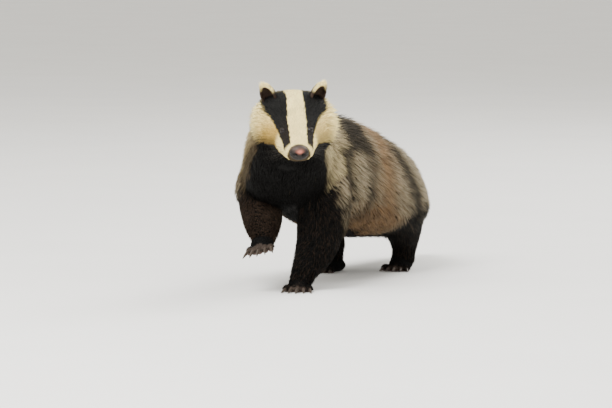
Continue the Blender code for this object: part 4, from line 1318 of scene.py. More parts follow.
@dataclass(frozen=True)
class BareFinish:
    """Bare skin of lids, lips, ears' insides and pads: one colour with fine creases."""

    name: str
    low: Row
    high: Row
    roughness: float = 0.55
    grain: float = 700.0

    def make(self) -> Material:
        """The material."""
        recipe = Recipe(self.name, {"Specular IOR Level": 0.18})
        creases = recipe.cells(self.grain)
        recipe.colour(recipe.blended((*self.low, 1), (*self.high, 1), recipe.noise(150.0)))
        recipe.rough(recipe.noise(200.0) * 0.2 + (self.roughness - 0.1))
        recipe.relief(creases, 0.0003, 0.5)
        return recipe.material


@dataclass(frozen=True)
class FloorFinish:
    """A plain pale floor with the faintest mottling."""

    name: str = "pale_floor"

    def make(self) -> Material:
        """The material."""
        recipe = Recipe(self.name, {"Specular IOR Level": 0.2, "Roughness": 0.8})
        recipe.colour(recipe.blended((0.70, 0.69, 0.66, 1), (0.76, 0.75, 0.72, 1), recipe.noise(3.0)))
        return recipe.material


@dataclass
class Skin:
    """The one skin under the coat: fused trunk and legs, the detailed head, and the paws."""

    animal: Animal
    marks: Markings
    body_voxel: float = 0.0035
    paw_voxel: float = 0.0014
    body_sides: int = 72
    trunk_rings: int = 140
    leg_rings: int = 30
    head_rings: int = 150
    head_sides: int = 132
    toe_shape: Curve = Curve((0, 0.45, 0.8, 0.93, 1), (1.0, 1.1, 1.0, 0.82, 0.5))

    def body(self) -> Shell:
        """Trunk and legs fused."""
        sides = self.body_sides
        angle = turns(sides)
        shells = []
        for part in (self.animal.trunk, *self.animal.legs):
            count = self.trunk_rings if part is self.animal.trunk else self.leg_rings
            lengths = np.linspace(0, part.length, count)
            rows = part.point(np.repeat(lengths, sides), np.tile(angle, count)).reshape(count, sides, 3)
            shells.append(outward(*closed_grid(rows)))
        return fused(shells, self.body_voxel, 8)

    def head(self) -> Shell:
        """The head as a grid of rings, closer together towards the nose."""
        head = self.animal.head
        t = np.linspace(0, 1, self.head_rings)
        start, end = head.slices[0, 0], head.slices[-1, 0]
        forward = start + (end - start) * (1.25 * t - 0.25 * t**2)
        angle = turns(self.head_sides)
        rows = head.surface(np.repeat(forward, self.head_sides), np.tile(angle, self.head_rings))
        return outward(*closed_grid(head.to_world(rows).reshape(self.head_rings, self.head_sides, 3)))

    def paw(self, paw: Paw) -> Shell:
        """A palm and its toes fused."""
        shells = [closed_grid(ball(*paw.palm(), 22, 36))]
        at = np.linspace(0, 1, 16)
        radii = self.toe_shape(at) * (paw.sizes.toe_radius - paw.fur)
        for number in range(paw.toes):
            shells.append(closed_grid(tube(paw.toe_path(number, at * paw.toe_reach(number)), radii, 20)))
        return fused([(paw.to_world(p), outward(p, f)[1]) for p, f in shells], self.paw_voxel, 3)

    def build(self) -> dict[str, Shell]:
        """Adds the skin as one piece, and returns its shells by name for the coat to grow on."""
        animal = self.animal
        shells = {"trunk": self.body(), "head": self.head()}
        on_trunk = animal.nearest(shells["trunk"][0]) == 0
        parts = [np.where(on_trunk, 1, 2), np.zeros(len(shells["head"][0]))]
        for paw in animal.paws:
            shells[paw.name] = self.paw(paw)
            ahead = paw.to_local(shells[paw.name][0])[:, 1]
            parts.append(np.where(ahead > paw.sizes.front + 0.002, 3, 2))
        points, faces = merge(list(shells.values()))
        shades = self.marks.skin(animal, points, np.concatenate(parts))
        legs = [f"{paw.name}_{piece}" for paw in animal.paws for piece in ("leg", "paw")]
        nodes = ("head", "neck", "torso", "tail", *legs)
        add_piece("skin", (points, faces), HideFinish().make(), nodes, shades)
        return shells


@dataclass
class Pelt:
    """The whole coat: long and grizzled on the trunk, short on the head, legs and paws."""

    animal: Animal
    marks: Markings
    coat: Coat
    trunk_spacing: float = 0.00215
    tail_start: float = 0.70
    tail_share: float = 0.85
    leg_spacing: float = 0.0020
    paw_spacing: float = 0.0015
    head_spacing: Curve = Curve((-0.05, 0.0, 0.05, 0.09, 0.14), (0.0020, 0.0016, 0.00128, 0.00104, 0.00086))
    long_reach: Row = (0.024, 0.036, 0.046, 0.054, 0.056, 0.048, 0.034)
    head_reach: Curve = Curve((-0.05, -0.01, 0.04, 0.08, 0.12, 0.14),
                              (0.022, 0.015, 0.0098, 0.0064, 0.0038, 0.0024))
    ruff_reach: float = 0.032
    head_width: Curve = Curve((0.003, 0.008, 0.016, 0.034), (0.00062, 0.00095, 0.0014, 0.0019))
    eye_bare: float = 0.0052
    lip_bare: float = 0.0008
    nose_bare: float = 1.06

    def on_trunk(self, points: Array, faces: Array) -> None:
        """Long bristly tufts on neck, torso and tail, and shorter ones down the legs."""
        a = self.animal

        def spacing(at: Array) -> Array:
            on_trunk = a.nearest(at) == 0
            length = a.trunk.near(at).unwrap[:, 1] * a.trunk.length
            wide = np.where(on_trunk, self.trunk_spacing, self.leg_spacing)
            wide = np.where(on_trunk & (length > self.tail_start), self.trunk_spacing * self.tail_share, wide)
            hidden = a.head.near(at).outside < -0.004
            hidden &= a.head.to_local(at)[:, 1] > a.head.slices[0, 0] + 0.004
            for paw in a.paws:
                hidden |= paw.near(at).outside < -0.003
            return np.where(hidden, np.inf, wide)

        root, _ = self.coat.scatter(points, faces, spacing)
        own = a.nearest(root)
        self.long_coat(root[own == 0])
        self.leg_coat(root[own != 0], own[own != 0] - 1)

    def long_coat(self, root: Array) -> None:
        """The grizzled coat: dull roots, dark or pale middles and pale tips; black on throat and chest.

        Each tuft takes the markings of the place its outer half covers. Stray ones are thin and pale,
        and rise less at the sides, so that they stay near the solids' own outline.
        """
        a, draw, n = self.animal, self.coat.draw, len(root)
        near = a.trunk.near(root)
        length = near.unwrap[:, 1] * a.trunk.length
        reach = np.interp(length, [0.04, 0.12, 0.25, 0.45, 0.62, 0.72, a.trunk.length], self.long_reach)
        under = -near.out[:, 2]
        reach = reach * (1 - 0.35 * step_up(under, 0.3, 0.9)) * draw.uniform(0.70, 1.15, n)
        stray = draw.uniform(0, 1, n) < 0.15
        depth = near.depth * draw.uniform(0.62, 1.02, n) * (1 + 0.20 * ripple(root, 0.022, 33))
        most = near.depth * (1.35 - 0.35 * np.abs(near.out[:, 0]))
        depth = np.minimum(depth * np.where(stray, 1.30, 1.0), most)
        swirl = 0.24 * ripple(root, 0.06, 21) + draw.normal(0, 0.13, n)
        width = 0.0021 * draw.uniform(0.65, 1.35, n) * np.where(stray, 0.6, 1.0)
        tufts = Tufts(root, reach, depth, width, near.unwrap, swirl)
        spine, ways, clump = self.coat.spines(tufts, [a.trunk, *a.legs], 0.009, 0.42)
        black, dark, rust = self.marks.trunk(a.trunk, (spine[:, 1] + spine[:, 2]) / 2)
        kind = 0.55 * draw.uniform(0, 1, n) + 0.45 * clump + 0.15 * ripple(root, 0.020, 31)
        neck = 1 - step_up(length, 0.17, 0.26)
        buff = mix(Tone.BUFF.rgb, Tone.RUST.rgb, rust)
        night = mix(Tone.SOOT.rgb, Tone.RUST.rgb * 0.35, rust * 0.7)
        cream = mix(Tone.CREAM.rgb, Tone.RUST.rgb * 1.25, rust * 0.85)
        cream = mix(cream, Tone.WHITE.rgb, neck * 0.5)
        light = 1 - 0.9 * dark
        pale = np.clip(step_up(kind, 0.38, 0.58) * light + neck * 0.5 * light, 0, 1)
        middle = mix(night, buff, pale)
        dull = np.clip(dark * 0.9 + (draw.uniform(0, 1, n) < 0.30) * 0.8 * (1 - neck), 0, 1)
        tip = mix(cream, middle * 1.1, dull * (1 - 0.8 * stray * (1 - dark)))
        # Painted light and shade: tufts on upper faces lighter, those on under faces darker; the rest of the
        # tone differs at random
        tone = draw.uniform(0.80, 1.15, n) * np.interp(under, [-0.7, 0.0, 0.6], [1.08, 0.88, 0.74])
        rows = np.stack([buff * 0.25, middle, tip], axis=1) * tone[:, None, None]
        coal = Tone.BLACK.rgb * draw.uniform(0.7, 1.6, n)[:, None]
        black = step_up(black + draw.normal(0, 0.12, n), 0.20, 0.70)[:, None, None]
        rows = rows * (1 - black) + coal[:, None] * black
        self.coat.build("coat_trunk", tufts, spine, ways, rows, "grey_fur")

    def leg_coat(self, root: Array, leg: Array) -> None:
        """Black fur on the legs, longer where it comes out from under the trunk's, grizzled on the shoulders.

        The lifted leg is browner, and the shoulder's grizzle darkens downwards and on its rear face, as
        painted shade.
        """
        a, draw, n = self.animal, self.coat.draw, len(root)
        unwrap, grey = np.zeros((n, 2)), np.zeros(n)
        for number, part in enumerate(a.legs):
            own = leg == number
            unwrap[own] = quarter(part.near(root[own]).unwrap, number)
            grey[own] = self.marks.shoulder(part, root[own])
        far = np.exp(-np.maximum(a.trunk.near(root).outside, 0) / 0.025)
        reach = (0.0115 + 0.014 * far + 0.016 * grey) * draw.uniform(0.75, 1.2, n)
        depth = 0.0032 * draw.uniform(0.6, 1.15, n) + 0.004 * far + 0.006 * grey
        swirl = 0.22 * ripple(root, 0.04, 22) + draw.normal(0, 0.14, n)
        tufts = Tufts(root, reach, depth, 0.0018 * draw.uniform(0.7, 1.3, n), unwrap, swirl)
        spine, ways, _ = self.coat.spines(tufts, [a.trunk, *a.legs, *a.paws], 0.006, 0.35)
        base = Tone.BLACK.rgb * draw.uniform(0.7, 1.5, (n, 1))
        raised = (leg == 1) * (1 - step_up(root[:, 2], 0.14, 0.19))
        warm = base + ((draw.uniform(0, 1, n) < 0.30) * 0.35 + 0.50 * raised)[:, None] * Tone.UMBER.rgb
        grey = np.clip(grey * 1.4 - draw.uniform(0, 0.4, n), 0, 1)
        # Painted shade: the shoulder's grizzle darker on its rear face and low down, with fewer pale tufts on
        # the rear face
        rear = step_up(a.legs[0].near(spine[:, 1]).out[:, 1], -0.20, 0.25)
        pale = (draw.uniform(0, 1, n) < 0.62 - 0.62 * rear)[:, None]
        shoulder_shade = (1 - 0.65 * np.maximum(rear, 1 - step_up(root[:, 2], 0.12, 0.22)))[:, None]
        middle = mix(warm, np.where(pale, Tone.BUFF.rgb, Tone.SOOT.rgb) * shoulder_shade, grey)
        tip = mix(warm * 1.2, np.where(pale, Tone.CREAM.rgb, Tone.BUFF.rgb) * shoulder_shade, grey)
        rows = np.stack([base, middle, tip], axis=1)
        self.coat.build("coat_legs", tufts, spine, ways, rows, "black_fur")

    def on_head(self, points: Array, faces: Array) -> None:
        """Short fur from the nose back, growing into the ruff on the cheeks and a crest before each ear.

        Each tuft takes the markings of the place its outer half covers, so the stripes' edges stay sharp. The
        ruff's stray tufts stand off more, and its outer tips are whiter.
        """
        a, draw = self.animal, self.coat.draw
        head = a.head

        def spacing(at: Array) -> Array:
            local = head.to_local(at)
            off, ahead = head.eye_apart(local)
            gap = local[:, 2] - head.mouth_height(local[:, 1])
            nose = (local - np.array(head.nose_place)) / np.array(head.nose_size)
            hidden = (a.trunk.near(at).outside < -0.003) & (a.trunk.locate(at)[0] > 0.004)
            hidden |= (off < self.eye_bare) & (ahead > 0)
            hidden |= (np.abs(gap) < self.lip_bare) & (local[:, 1] > head.mouth_corner)
            hidden |= np.linalg.norm(nose, axis=1) < self.nose_bare
            return np.where(hidden, np.inf, self.head_spacing(local[:, 1]))

        root, _ = self.coat.scatter(points, faces, spacing)
        n = len(root)
        near = head.near(root)
        local = head.to_local(root)
        aside, f = np.abs(local[:, 0]), local[:, 1]
        ruff = np.clip((near.depth - head.fur_depth(f)) / 0.018, 0, 1)
        reach = (self.head_reach(f) * (1 - ruff) + self.ruff_reach * ruff) * draw.uniform(0.8, 1.15, n)
        crest = bump(aside, 0.034, 0.009) * bump(f, -0.010, 0.013) * step_up(local[:, 2], 0.02, 0.03)
        stray = (draw.uniform(0, 1, n) < 0.25) * ruff
        depth = near.depth * (0.70 + 0.30 * draw.uniform(0, 1, n) + 0.34 * stray) + 0.0055 * crest
        reach = reach + 0.004 * crest
        depth = np.minimum(depth, (0.60 + 0.22 * stray) * reach)
        swirl = 0.16 * ripple(root, 0.03, 23) * step_up(-f, -0.10, 0.0)
        swirl = swirl + draw.normal(0, 0.10, n) * (1 + 1.4 * ruff)
        width = self.head_width(reach) * draw.uniform(0.75, 1.3, n)
        tufts = Tufts(root, reach, depth, width, near.unwrap, swirl)
        spine, ways, _ = self.coat.spines(tufts, [head], 0.006, 0.35)
        black, ochre, shade = self.marks.head(head, (spine[:, 1] + spine[:, 2]) / 2)
        white = mix(Tone.WHITE.rgb, Tone.OCHRE.rgb, ochre)
        # Painted shade along the cheeks' lower edge and below the nose, and the dark bare skin round the nose
        white = mix(white, Tone.UMBER.rgb * 1.2, np.where(shade > 0.9, 0.97, 0.80) * shade)
        coal = mix(Tone.STRIPE.rgb, Tone.UMBER.rgb, 0.25 * step_up(f, 0.055, 0.10))
        # Painted shade: low on the head the black turns to the shade-darkened black under the jaw
        coal = mix(coal, Tone.BLACK.rgb, step_up(-local[:, 2], 0.010, 0.018))
        coal = coal * draw.uniform(0.7, 1.5, n)[:, None]
        tone = draw.uniform(0.88, 1.08, n)[:, None]
        fringe = ruff * (1 - shade) * (0.2 + 0.6 * step_up(aside, 0.056, 0.074))
        base = mix(white * tone * 0.68, coal, black)
        middle = mix(white * tone, coal, black)
        tip = mix(mix(white, Tone.WHITE.rgb, fringe) * tone * 1.04, coal * 1.3, black)
        rows = np.stack([base, middle, tip], axis=1)
        self.coat.build("coat_head", tufts, spine, ways, rows, "cream_fur")

    def on_paws(self, shells: dict[str, Shell]) -> None:
        """The shortest fur, on the backs of the paws and toes; soles and the lifted paw's toes stay bare."""
        a, draw = self.animal, self.coat.draw
        roots, unwraps = [], []
        for number, paw in enumerate(a.paws):
            def spacing(at: Array, paw: Paw = paw, leg: Leg = a.legs[number]) -> Array:
                out = paw.near(at).out @ paw.turn
                bare_from = paw.sizes.front + paw.sizes.toe_length * (0.50 if paw.planted else 0.0)
                hidden = (leg.near(at).outside < -0.002) | (out[:, 2] < -0.25)
                hidden |= paw.to_local(at)[:, 1] > bare_from
                if paw.planted:
                    hidden |= at[:, 2] < 0.002
                return np.where(hidden, np.inf, self.paw_spacing)

            root, _ = self.coat.scatter(*shells[paw.name], spacing)
            roots.append(root)
            unwraps.append(quarter(paw.near(root).unwrap, number))
        root, unwrap = np.concatenate(roots), np.concatenate(unwraps)
        n = len(root)
        reach = 0.0062 * draw.uniform(0.7, 1.25, n)
        depth = 0.0010 * draw.uniform(0.6, 1.3, n)
        tufts = Tufts(root, reach, depth, 0.0012 * draw.uniform(0.8, 1.2, n), unwrap, draw.normal(0, 0.2, n))
        spine, ways, _ = self.coat.spines(tufts, a.paws, 0.004, 0.25)
        spine[:, :, 2] = np.maximum(spine[:, :, 2], 0.0008)
        base = Tone.BLACK.rgb * draw.uniform(0.8, 1.6, (n, 1))
        rows = np.stack([base, base, base * 1.3], axis=1)
        self.coat.build("coat_paws", tufts, spine, ways, rows, "black_fur")


@dataclass
class Ears:
    """Two rounded cups, open to the front: dark inside and out, with white tufts along the top."""

    head: Head
    coat: Coat
    place: Row = (0.0420, -0.001, 0.0430)
    size: Row = (0.0150, 0.0110, 0.0245)
    wall: float = 0.0018
    lean: float = math.radians(22.0)
    turn: float = math.radians(24.0)
    mouth: float = 0.45
    fur: float = 0.0012
    sides: int = 64
    rings: int = 22
    pole: float = 0.06
    buried: float = -0.016
    spacing: float = 0.00105

    def matrix(self, side: int) -> tuple[Array, Array]:
        """The turn and place of an ear in the head's frame; side is -1 for the left."""
        turn = Matrix.Rotation(side * self.lean, 3, "Y") @ Matrix.Rotation(side * -self.turn, 3, "Z")
        return np.array(turn), np.array([side * self.place[0], self.place[1], self.place[2]])

    def cup(self, polar: Array, angle: Array, inset: float) -> Array:
        """Points on a stretched sphere about the -Y pole, drawn in by an inset."""
        half = np.array(self.size) - inset
        x = np.sin(polar) * np.cos(angle)
        z = np.sin(polar) * np.sin(angle)
        return np.stack([x * half[0], -np.cos(polar) * half[1], z * half[2]], axis=-1)

    def build(self) -> None:
        """Each ear: out from its back to the rim and in again along the inside, as one closed surface."""
        rim = math.pi / 2 + math.asin(self.mouth)
        inside = BareFinish("ear_inside", (0.035, 0.022, 0.016), (0.085, 0.055, 0.040), 0.7).make()
        angle = turns(self.sides)
        walls = ((self.pole, rim, self.fur), (rim - 0.03, self.pole, self.fur + self.wall))
        rows = np.stack([self.cup(np.full(self.sides, polar), angle, inset)
                         for start, end, inset in walls for polar in np.linspace(start, end, self.rings)])
        for name, side in SIDES:
            turn, place = self.matrix(side)
            points, faces = closed_grid(rows)
            points, faces = outward(self.head.to_world(points @ turn.T + place), faces)
            add_piece(f"{name}_ear_skin", (points, faces), inside, [f"{name}_ear"])
            self.grow(name, side, points, faces, turn, place)

    def grow(self, name: str, side: int, points: Array, faces: Array, turn: Array, place: Array) -> None:
        """Short dark tufts over an ear, browner in its mouth, and long white ones along its top.

        A tuft leans out of the surface and away from the ear's root. The white ones stand up along the ear
        and are longest by its outer side, where the white starts higher.
        """
        draw = self.coat.draw

        def local_of(at: Array) -> Array:
            return (self.head.to_local(at) - place) @ turn

        def spacing(at: Array) -> Array:
            return np.where(local_of(at)[:, 2] < self.buried, np.inf, self.spacing)

        root, pick = self.coat.scatter(points, faces, spacing)
        a, b, c = (points[faces[pick, i]] for i in range(3))
        out = unit(np.cross(b - a, c - a))
        local = local_of(root)
        n = len(root)
        share = local / (np.array(self.size) - self.fur)
        edge = step_up(share[:, 1], self.mouth - 0.95, self.mouth - 0.30)
        top = step_up(share[:, 2], 0.12, 0.42)
        outer = side * share[:, 0]
        inner_face = dot(share, (out @ self.head.turn) @ turn)[:, 0] < 0
        white = top * edge * (1 - step_up(outer, 0.30, 0.60) * (1 - step_up(share[:, 2], 0.50, 0.72)))
        white = np.maximum(white, step_up(share[:, 2], 0.60, 0.80) * (1 - inner_face))
        up = self.head.turn @ (turn @ np.array([-0.50 * side, 0.10, 1.0]))
        way = unit(up[None] * (0.75 + 0.9 * white[:, None]) + out * (0.50 - 0.38 * white[:, None]))
        way = unit(way + draw.normal(0, 0.12, (n, 3)))
        peak = step_up(outer, -0.1, 0.75)
        reach = (0.0028 + white * (0.0026 + 0.0110 * peak)) * draw.uniform(0.75, 1.15, n)
        spine = root[:, None] + way[:, None] * (reach[:, None] * np.array([0.0, 0.55, 1.0]))[:, :, None]
        spine[:, 0] -= out * 0.0008
        width = np.where(white > 0.5, 0.0010, 0.0009) * draw.uniform(0.8, 1.2, n)
        around = np.arctan2(share[:, 0], share[:, 2]) / (2 * math.pi) + 0.5
        unwrap = np.stack([around, share[:, 1] / 2 + 0.5], axis=1)
        tufts = Tufts(root, reach, reach, width, unwrap, np.zeros(n))
        black = mix(Tone.STRIPE.rgb, Tone.UMBER.rgb, 0.15 + inner_face * 0.7) * draw.uniform(0.7, 1.4, (n, 1))
        pale = Tone.WHITE.rgb * draw.uniform(0.92, 1.04, (n, 1))
        base = mix(black, pale * 0.7, white)
        tip = mix(black * 1.3, pale, white)
        t = np.array([0.0, 0.5, 1.0])[None, :, None]
        rows = base[:, None] * (1 - t) + tip[:, None] * t
        ways = np.repeat(out[:, None], 3, axis=1)
        self.coat.build(f"coat_{name}_ear", tufts, spine, ways, rows, "black_fur")


@dataclass
class Face:
    """Eyes, lids, nose, lips and whiskers, set in the head's frame."""

    head: Head
    nostril: Row = (0.0075, -0.0012)
    nose_dark: Row = (0.0075, 0.0055, 0.0045)
    nose_rim_and_sheen: Row = (0.035, 0.0231, 0.0175)
    nose_pink: Row = (0.34, 0.105, 0.070)
    almond: Row = (0.0053, 0.0036)
    lid_sides: int = 16
    lid_steps: int = 72
    lip_line: float = 0.0013
    whisker: float = 0.00020

    def eyes(self) -> None:
        """Two balls, each with a low dome over its pupil, and lids round them."""
        head = self.head
        gloss = EyeFinish().make()
        lid_skin = BareFinish("lid_skin", (0.004, 0.0035, 0.0035), (0.012, 0.009, 0.008), 0.5, 1500.0).make()
        for name, side in SIDES:
            centre = np.array(head.eye_place) * [side, 1, 1]
            look = unit(np.array(head.eye_look) * [side, 1, 1])
            across = unit(np.cross(look, UP))
            up = np.cross(across, look)
            rows = ball(np.zeros(3), np.full(3, head.eye_radius - 0.0002), 30, 44)
            dome = 1.0 + 0.035 * step_up(rows[..., 2], head.eye_radius * 0.55, head.eye_radius)
            rows = rows * dome[..., None]
            rows = rows[..., 0:1] * across + rows[..., 1:2] * up + rows[..., 2:3] * look + centre
            shell = outward(*closed_grid(head.to_world(rows)))
            add_piece(f"{name}_eyeball", shell, gloss, [f"{name}_eye"])
            add_piece(f"{name}_lids", self.lids(centre, look, across, up), lid_skin)

    def lids(self, centre: Array, look: Array, across: Array, up: Array) -> Shell:
        """A ring round an almond opening, which rests on the ball.

        The ring's middle line goes round an almond, whose height is a power of the sine; it is thicker above.
        """
        steps, sides = self.lid_steps, self.lid_sides
        t = turns(steps)
        u = self.almond[0] * np.cos(t)
        v = self.almond[1] * np.sign(np.sin(t)) * np.abs(np.sin(t)) ** 1.2
        radius = self.head.eye_radius + 0.0002
        w = np.sqrt(np.maximum(radius**2 - u**2 - v**2, 0.0))
        path = centre + u[:, None] * across + v[:, None] * up + w[:, None] * look
        thick = 0.0006 + 0.0004 * np.clip(np.sin(t), 0, 1)
        along = unit(np.roll(path, -1, axis=0) - np.roll(path, 1, axis=0))
        out = unit(path - centre)
        side = np.cross(along, out)
        angle = turns(sides)
        c, s = np.cos(angle)[None, :, None], np.sin(angle)[None, :, None]
        ring = c * side[:, None] * 1.5 + s * out[:, None]
        rows = path[:, None] + ring * thick[:, None, None]
        faces = halved(grid_faces(steps + 1, sides) % (steps * sides))
        return outward(self.head.to_world(rows.reshape(-1, 3)), faces)

    def nose(self) -> None:
        """The nose pad: a stretched sphere, squared across, with bells pressed in for nostrils and groove.

        Each nostril is a bell with a slit that runs out from it and a raised wing round it; the groove runs
        down from between. The skin is dark, pink above the nostrils and a little lighter brown along the top,
        partly its own brown rim and partly a painted sheen; the nostrils are darkened as painted shade.
        """
        beside, level = self.nostril
        rows = ball(np.zeros(3), np.ones(3), 96, 120)
        rows = np.sign(rows) * np.abs(rows) ** np.array([0.92, 0.85, 0.92])
        rows = unit(rows) * (1.0 - 0.05 * step_up(-rows[..., 2:3], 0.0, 1.0) * np.abs(rows[..., 0:1]))
        local = rows * np.array(self.head.nose_size)
        x, y, z = np.abs(local[..., 0]), local[..., 1], local[..., 2]
        ahead = step_up(y, 0.0, 0.004)
        above = step_up(y, -0.001, 0.003)
        hole = np.exp(-0.5 * (((x - beside) / 0.0024) ** 2 + ((z - level) / 0.0020) ** 2))
        slit = bump(z, level - 0.0006, 0.0009) * step_up(x, beside, beside + 0.003)
        groove = bump(x, 0.0, 0.0007) * step_up(-z, -0.001, 0.003)
        press = ahead * (0.0046 * hole + 0.0007 * groove) + 0.0014 * slit * step_up(y, -0.002, 0.003)
        wings = 0.0008 * ahead * bump(np.hypot(x - beside, z - level), 0.0042, 0.0012)
        local = local - unit(local) * (press - wings)[..., None]
        pink = bump(local[..., 0], -0.0008, 0.0034) * bump(local[..., 2], 0.0048, 0.0021) * above
        # Along the top: the pad's own brown rim, lightened as a painted sheen
        top = bump(local[..., 2], 0.0095, 0.0028)[..., None]
        shades = mix(np.array(self.nose_dark) + top * np.array(self.nose_rim_and_sheen), np.array(self.nose_pink),
                     np.clip(pink * 1.2, 0, 1))
        # Painted shade in the nostrils
        shades = shades * (1 - 0.85 * hole)[..., None]
        shades = np.concatenate([shades.reshape(-1, 3), np.tile(self.nose_dark, (2, 1))])
        shell = outward(*closed_grid(self.head.to_world(local + np.array(self.head.nose_place))))
        add_piece("nose_pad", shell, NoseFinish().make(), ["nose"], shades)

    def lips(self) -> None:
        """A dark line in the crease of the mouth, as a thin tube on the skin."""
        head = self.head
        t = np.linspace(-1, 1, 90)
        back = np.abs(t) ** 1.6
        forward = head.mouth_front - (head.mouth_front - head.mouth_corner) * back
        row = head.table(forward)
        z = head.mouth_level - head.mouth_drop * back
        down = np.clip((row[:, 1] - z) / (row[:, 1] - row[:, 4]), 0, 1)
        side = row[:, 2] * (1 - down**head.jaw_square) ** (1 / head.jaw_square) - 0.0022
        side = np.minimum(side, 0.028 * np.abs(t) ** 0.5)
        path = np.stack([np.sign(t) * side, forward - 0.001, z], axis=1)
        radii = self.lip_line * np.sqrt(np.clip(1 - t**6, 0.05, 1))
        skin = BareFinish("lip_skin", (0.008, 0.006, 0.006), (0.030, 0.018, 0.015), 0.4).make()
        add_piece("lips", outward(*closed_grid(head.to_world(tube(path, radii, 10)))), skin)

    def whiskers(self) -> None:
        """Fine bristles from the muzzle's sides: each a thin tapered tube that bends back and down."""
        draw = np.random.default_rng(17)
        s = np.linspace(0, 1, 9)[:, None]
        shells = []
        for side, row, column in itertools.product((-1, 1), range(3), range(4)):
            f = 0.126 - 0.009 * column + draw.uniform(-0.001, 0.001)
            angle = math.radians(-2 - 16 * row + draw.uniform(-3, 3))
            root = self.head.surface(np.array([f]), np.array([angle if side > 0 else math.pi - angle]))[0]
            reach = 0.030 + 0.004 * column + draw.uniform(-0.004, 0.004)
            way = np.array([side * 0.9, -0.15 - 0.1 * column, 0.10 - 0.22 * row])
            bend = np.array([side * -0.12, -0.50, -0.28])
            path = root + reach * (way * s + bend * s**2)
            shells.append(closed_grid(tube(path, self.whisker * (1 - 0.9 * s[:, 0]), 5)))
        points, faces = merge(shells)
        hair = BareFinish("whisker_hair", (0.010, 0.008, 0.007), (0.05, 0.04, 0.03), 0.4).make()
        add_piece("whiskers", (self.head.to_world(points), faces), hair)


@dataclass
class Feet:
    """Claws and pads of all four paws."""

    paws: Sequence[Paw]
    claw_shape: Curve = Curve((-0.1, 0.0, 0.35, 0.7, 0.93, 1.0), (0.9, 0.9, 0.74, 0.5, 0.24, 0.08))
    pad_lift: float = 0.0018

    def add(self, name: str, paw: Paw, shells: Sequence[Shell], finish: Material,
            stands_for: Sequence[str] = (), slot: str | None = None) -> None:
        """Adds several closed meshes of one paw, given in its own frame, as one piece."""
        shell = merge([(paw.to_world(p), f) for p, f in shells])
        add_piece(f"{paw.name}_{name}", shell, finish, stands_for)

    def claws(self) -> None:
        """Each claw: a tapering tube along its path, taller than wide, drawn out to a blunt point."""
        horn = HornFinish().make()
        at = np.linspace(-0.10, 1.0, 18)
        for paw in self.paws:
            radii = self.claw_shape(at) * paw.sizes.claw_radius
            reach = at * paw.sizes.claw_length + 0.0004
            paths = [paw.toe_path(number, paw.toe_reach(number) + reach) for number in range(paw.toes)]
            nodes = [f"{paw.name}_claw_{number + 1}" for number in range(paw.toes)]
            shells = [outward(*closed_grid(tube(path, radii, 14, 1.25))) for path in paths]
            self.add("claws", paw, shells, horn, nodes, "claw")

    def pads(self) -> None:
        """Soles: a broad pad under the palm and one under each toe, as flattened balls."""
        leather = BareFinish("pad_leather", (0.050, 0.034, 0.030), (0.13, 0.085, 0.070), 0.6, 500.0).make()
        for paw in self.paws:
            s = paw.sizes
            lift = self.pad_lift if paw.planted else 0.0
            middle = np.array([0, s.front - 0.010, 0.004 + lift])
            balls = [ball(middle, np.array([s.half_width * 0.80, 0.012, 0.0052]), 16, 28)]
            for number in range(paw.toes):
                reach = paw.toe_reach(number)
                spot = paw.toe_path(number, np.array([reach * 0.62]))[0] - [0, 0, s.toe_radius * 0.55]
                half = np.array([s.toe_radius * 0.72, reach * 0.34, s.toe_radius * 0.62])
                balls.append(ball(spot, half, 14, 22))
            self.add("pads", paw, [outward(*closed_grid(rows)) for rows in balls], leather)


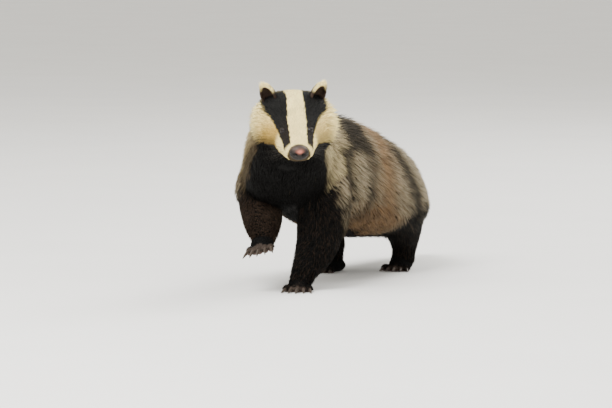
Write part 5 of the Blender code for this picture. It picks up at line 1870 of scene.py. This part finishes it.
@dataclass
class Studio:
    """The floor, the soft lights and the camera of the photograph."""

    floor_reach: float = 60.0
    azimuth: float = math.radians(25.0)
    elevation: float = math.radians(4.5)
    distance: float = 7.0
    per_pixel: float = 0.00175
    picture: tuple[int, int] = (612, 408)
    planted: Row = (0.035, -0.20, 0.0)
    planted_pixel: Row = (293.0, 291.0)
    sky: Row = (0.94, 0.92, 0.87, 1.0)
    sky_strength: float = 1.36
    aim: Row = (0.0, 0.0, 0.15)
    lamps: tuple = (
        ("key", (-0.4, -3.6, 3.7), 2.6, 570.0),
        ("fill", (3.6, -2.6, 2.2), 3.0, 80.0),
        ("rim", (1.2, 3.4, 3.6), 2.4, 260.0),
    )

    def floor(self) -> None:
        """A wide flat square just under the feet."""
        r = self.floor_reach
        points = np.array([(-r, -r, -0.0003), (r, -r, -0.0003), (r, r, -0.0003), (-r, r, -0.0003)]) + ORIGIN
        floor = mesh_object("floor", points, np.array([[0, 1, 2, 3]]))
        floor.data.materials.append(FloorFinish().make())

    def lights(self) -> None:
        """A pale surround and three large soft lamps."""
        world = bpy.data.worlds.new("surround")
        world.use_nodes = True
        sky = world.node_tree.nodes["Background"]
        sky.inputs["Color"].default_value = self.sky
        sky.inputs["Strength"].default_value = self.sky_strength
        bpy.context.scene.world = world
        for name, place, size, power in self.lamps:
            lamp = bpy.data.lights.new(name, "AREA")
            lamp.size = size
            lamp.energy = power
            obj = bpy.data.objects.new(name, lamp)
            obj.location = place
            towards = Vector(self.aim) - Vector(place)
            obj.rotation_euler = towards.to_track_quat("-Z", "Y").to_euler()
            bpy.context.scene.collection.objects.link(obj)

    def camera(self) -> None:
        """Looks along the fitted direction, so that the planted foot falls on its own pixel."""
        a, e = self.azimuth, self.elevation
        right = Vector((math.cos(a), math.sin(a), 0.0))
        back = Vector((math.sin(a) * math.cos(e), -math.cos(a) * math.cos(e), math.sin(e)))
        up = back.cross(right)
        wide, tall = self.picture
        target = Vector(self.planted) - Vector(ORIGIN)
        target += right * ((wide / 2 - self.planted_pixel[0]) * self.per_pixel)
        target += up * ((self.planted_pixel[1] - tall / 2) * self.per_pixel)
        data = bpy.data.cameras.new("camera")
        data.sensor_width = 36.0
        data.lens = 36.0 * self.distance / (wide * self.per_pixel)
        data.clip_end = 200.0
        camera = bpy.data.objects.new("camera", data)
        camera.location = target + back * self.distance
        camera.rotation_euler = back.to_track_quat("Z", "Y").to_euler()
        bpy.context.scene.collection.objects.link(camera)
        bpy.context.scene.camera = camera


def main() -> None:
    """Builds every piece in order."""
    logging.basicConfig(level=logging.INFO, format="%(message)s")
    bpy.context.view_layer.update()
    studio = Studio()
    studio.floor()
    studio.lights()
    studio.camera()
    animal = Animal()
    marks = Markings()
    shells = Skin(animal, marks).build()
    coat = Coat(animal, FurFinish().make())
    pelt = Pelt(animal, marks, coat)
    pelt.on_trunk(*shells["trunk"])
    pelt.on_head(*shells["head"])
    pelt.on_paws(shells)
    Ears(animal.head, coat).build()
    face = Face(animal.head)
    face.eyes()
    face.nose()
    face.lips()
    face.whiskers()
    feet = Feet(animal.paws)
    feet.claws()
    feet.pads()


if __name__ == "__main__":
    main()
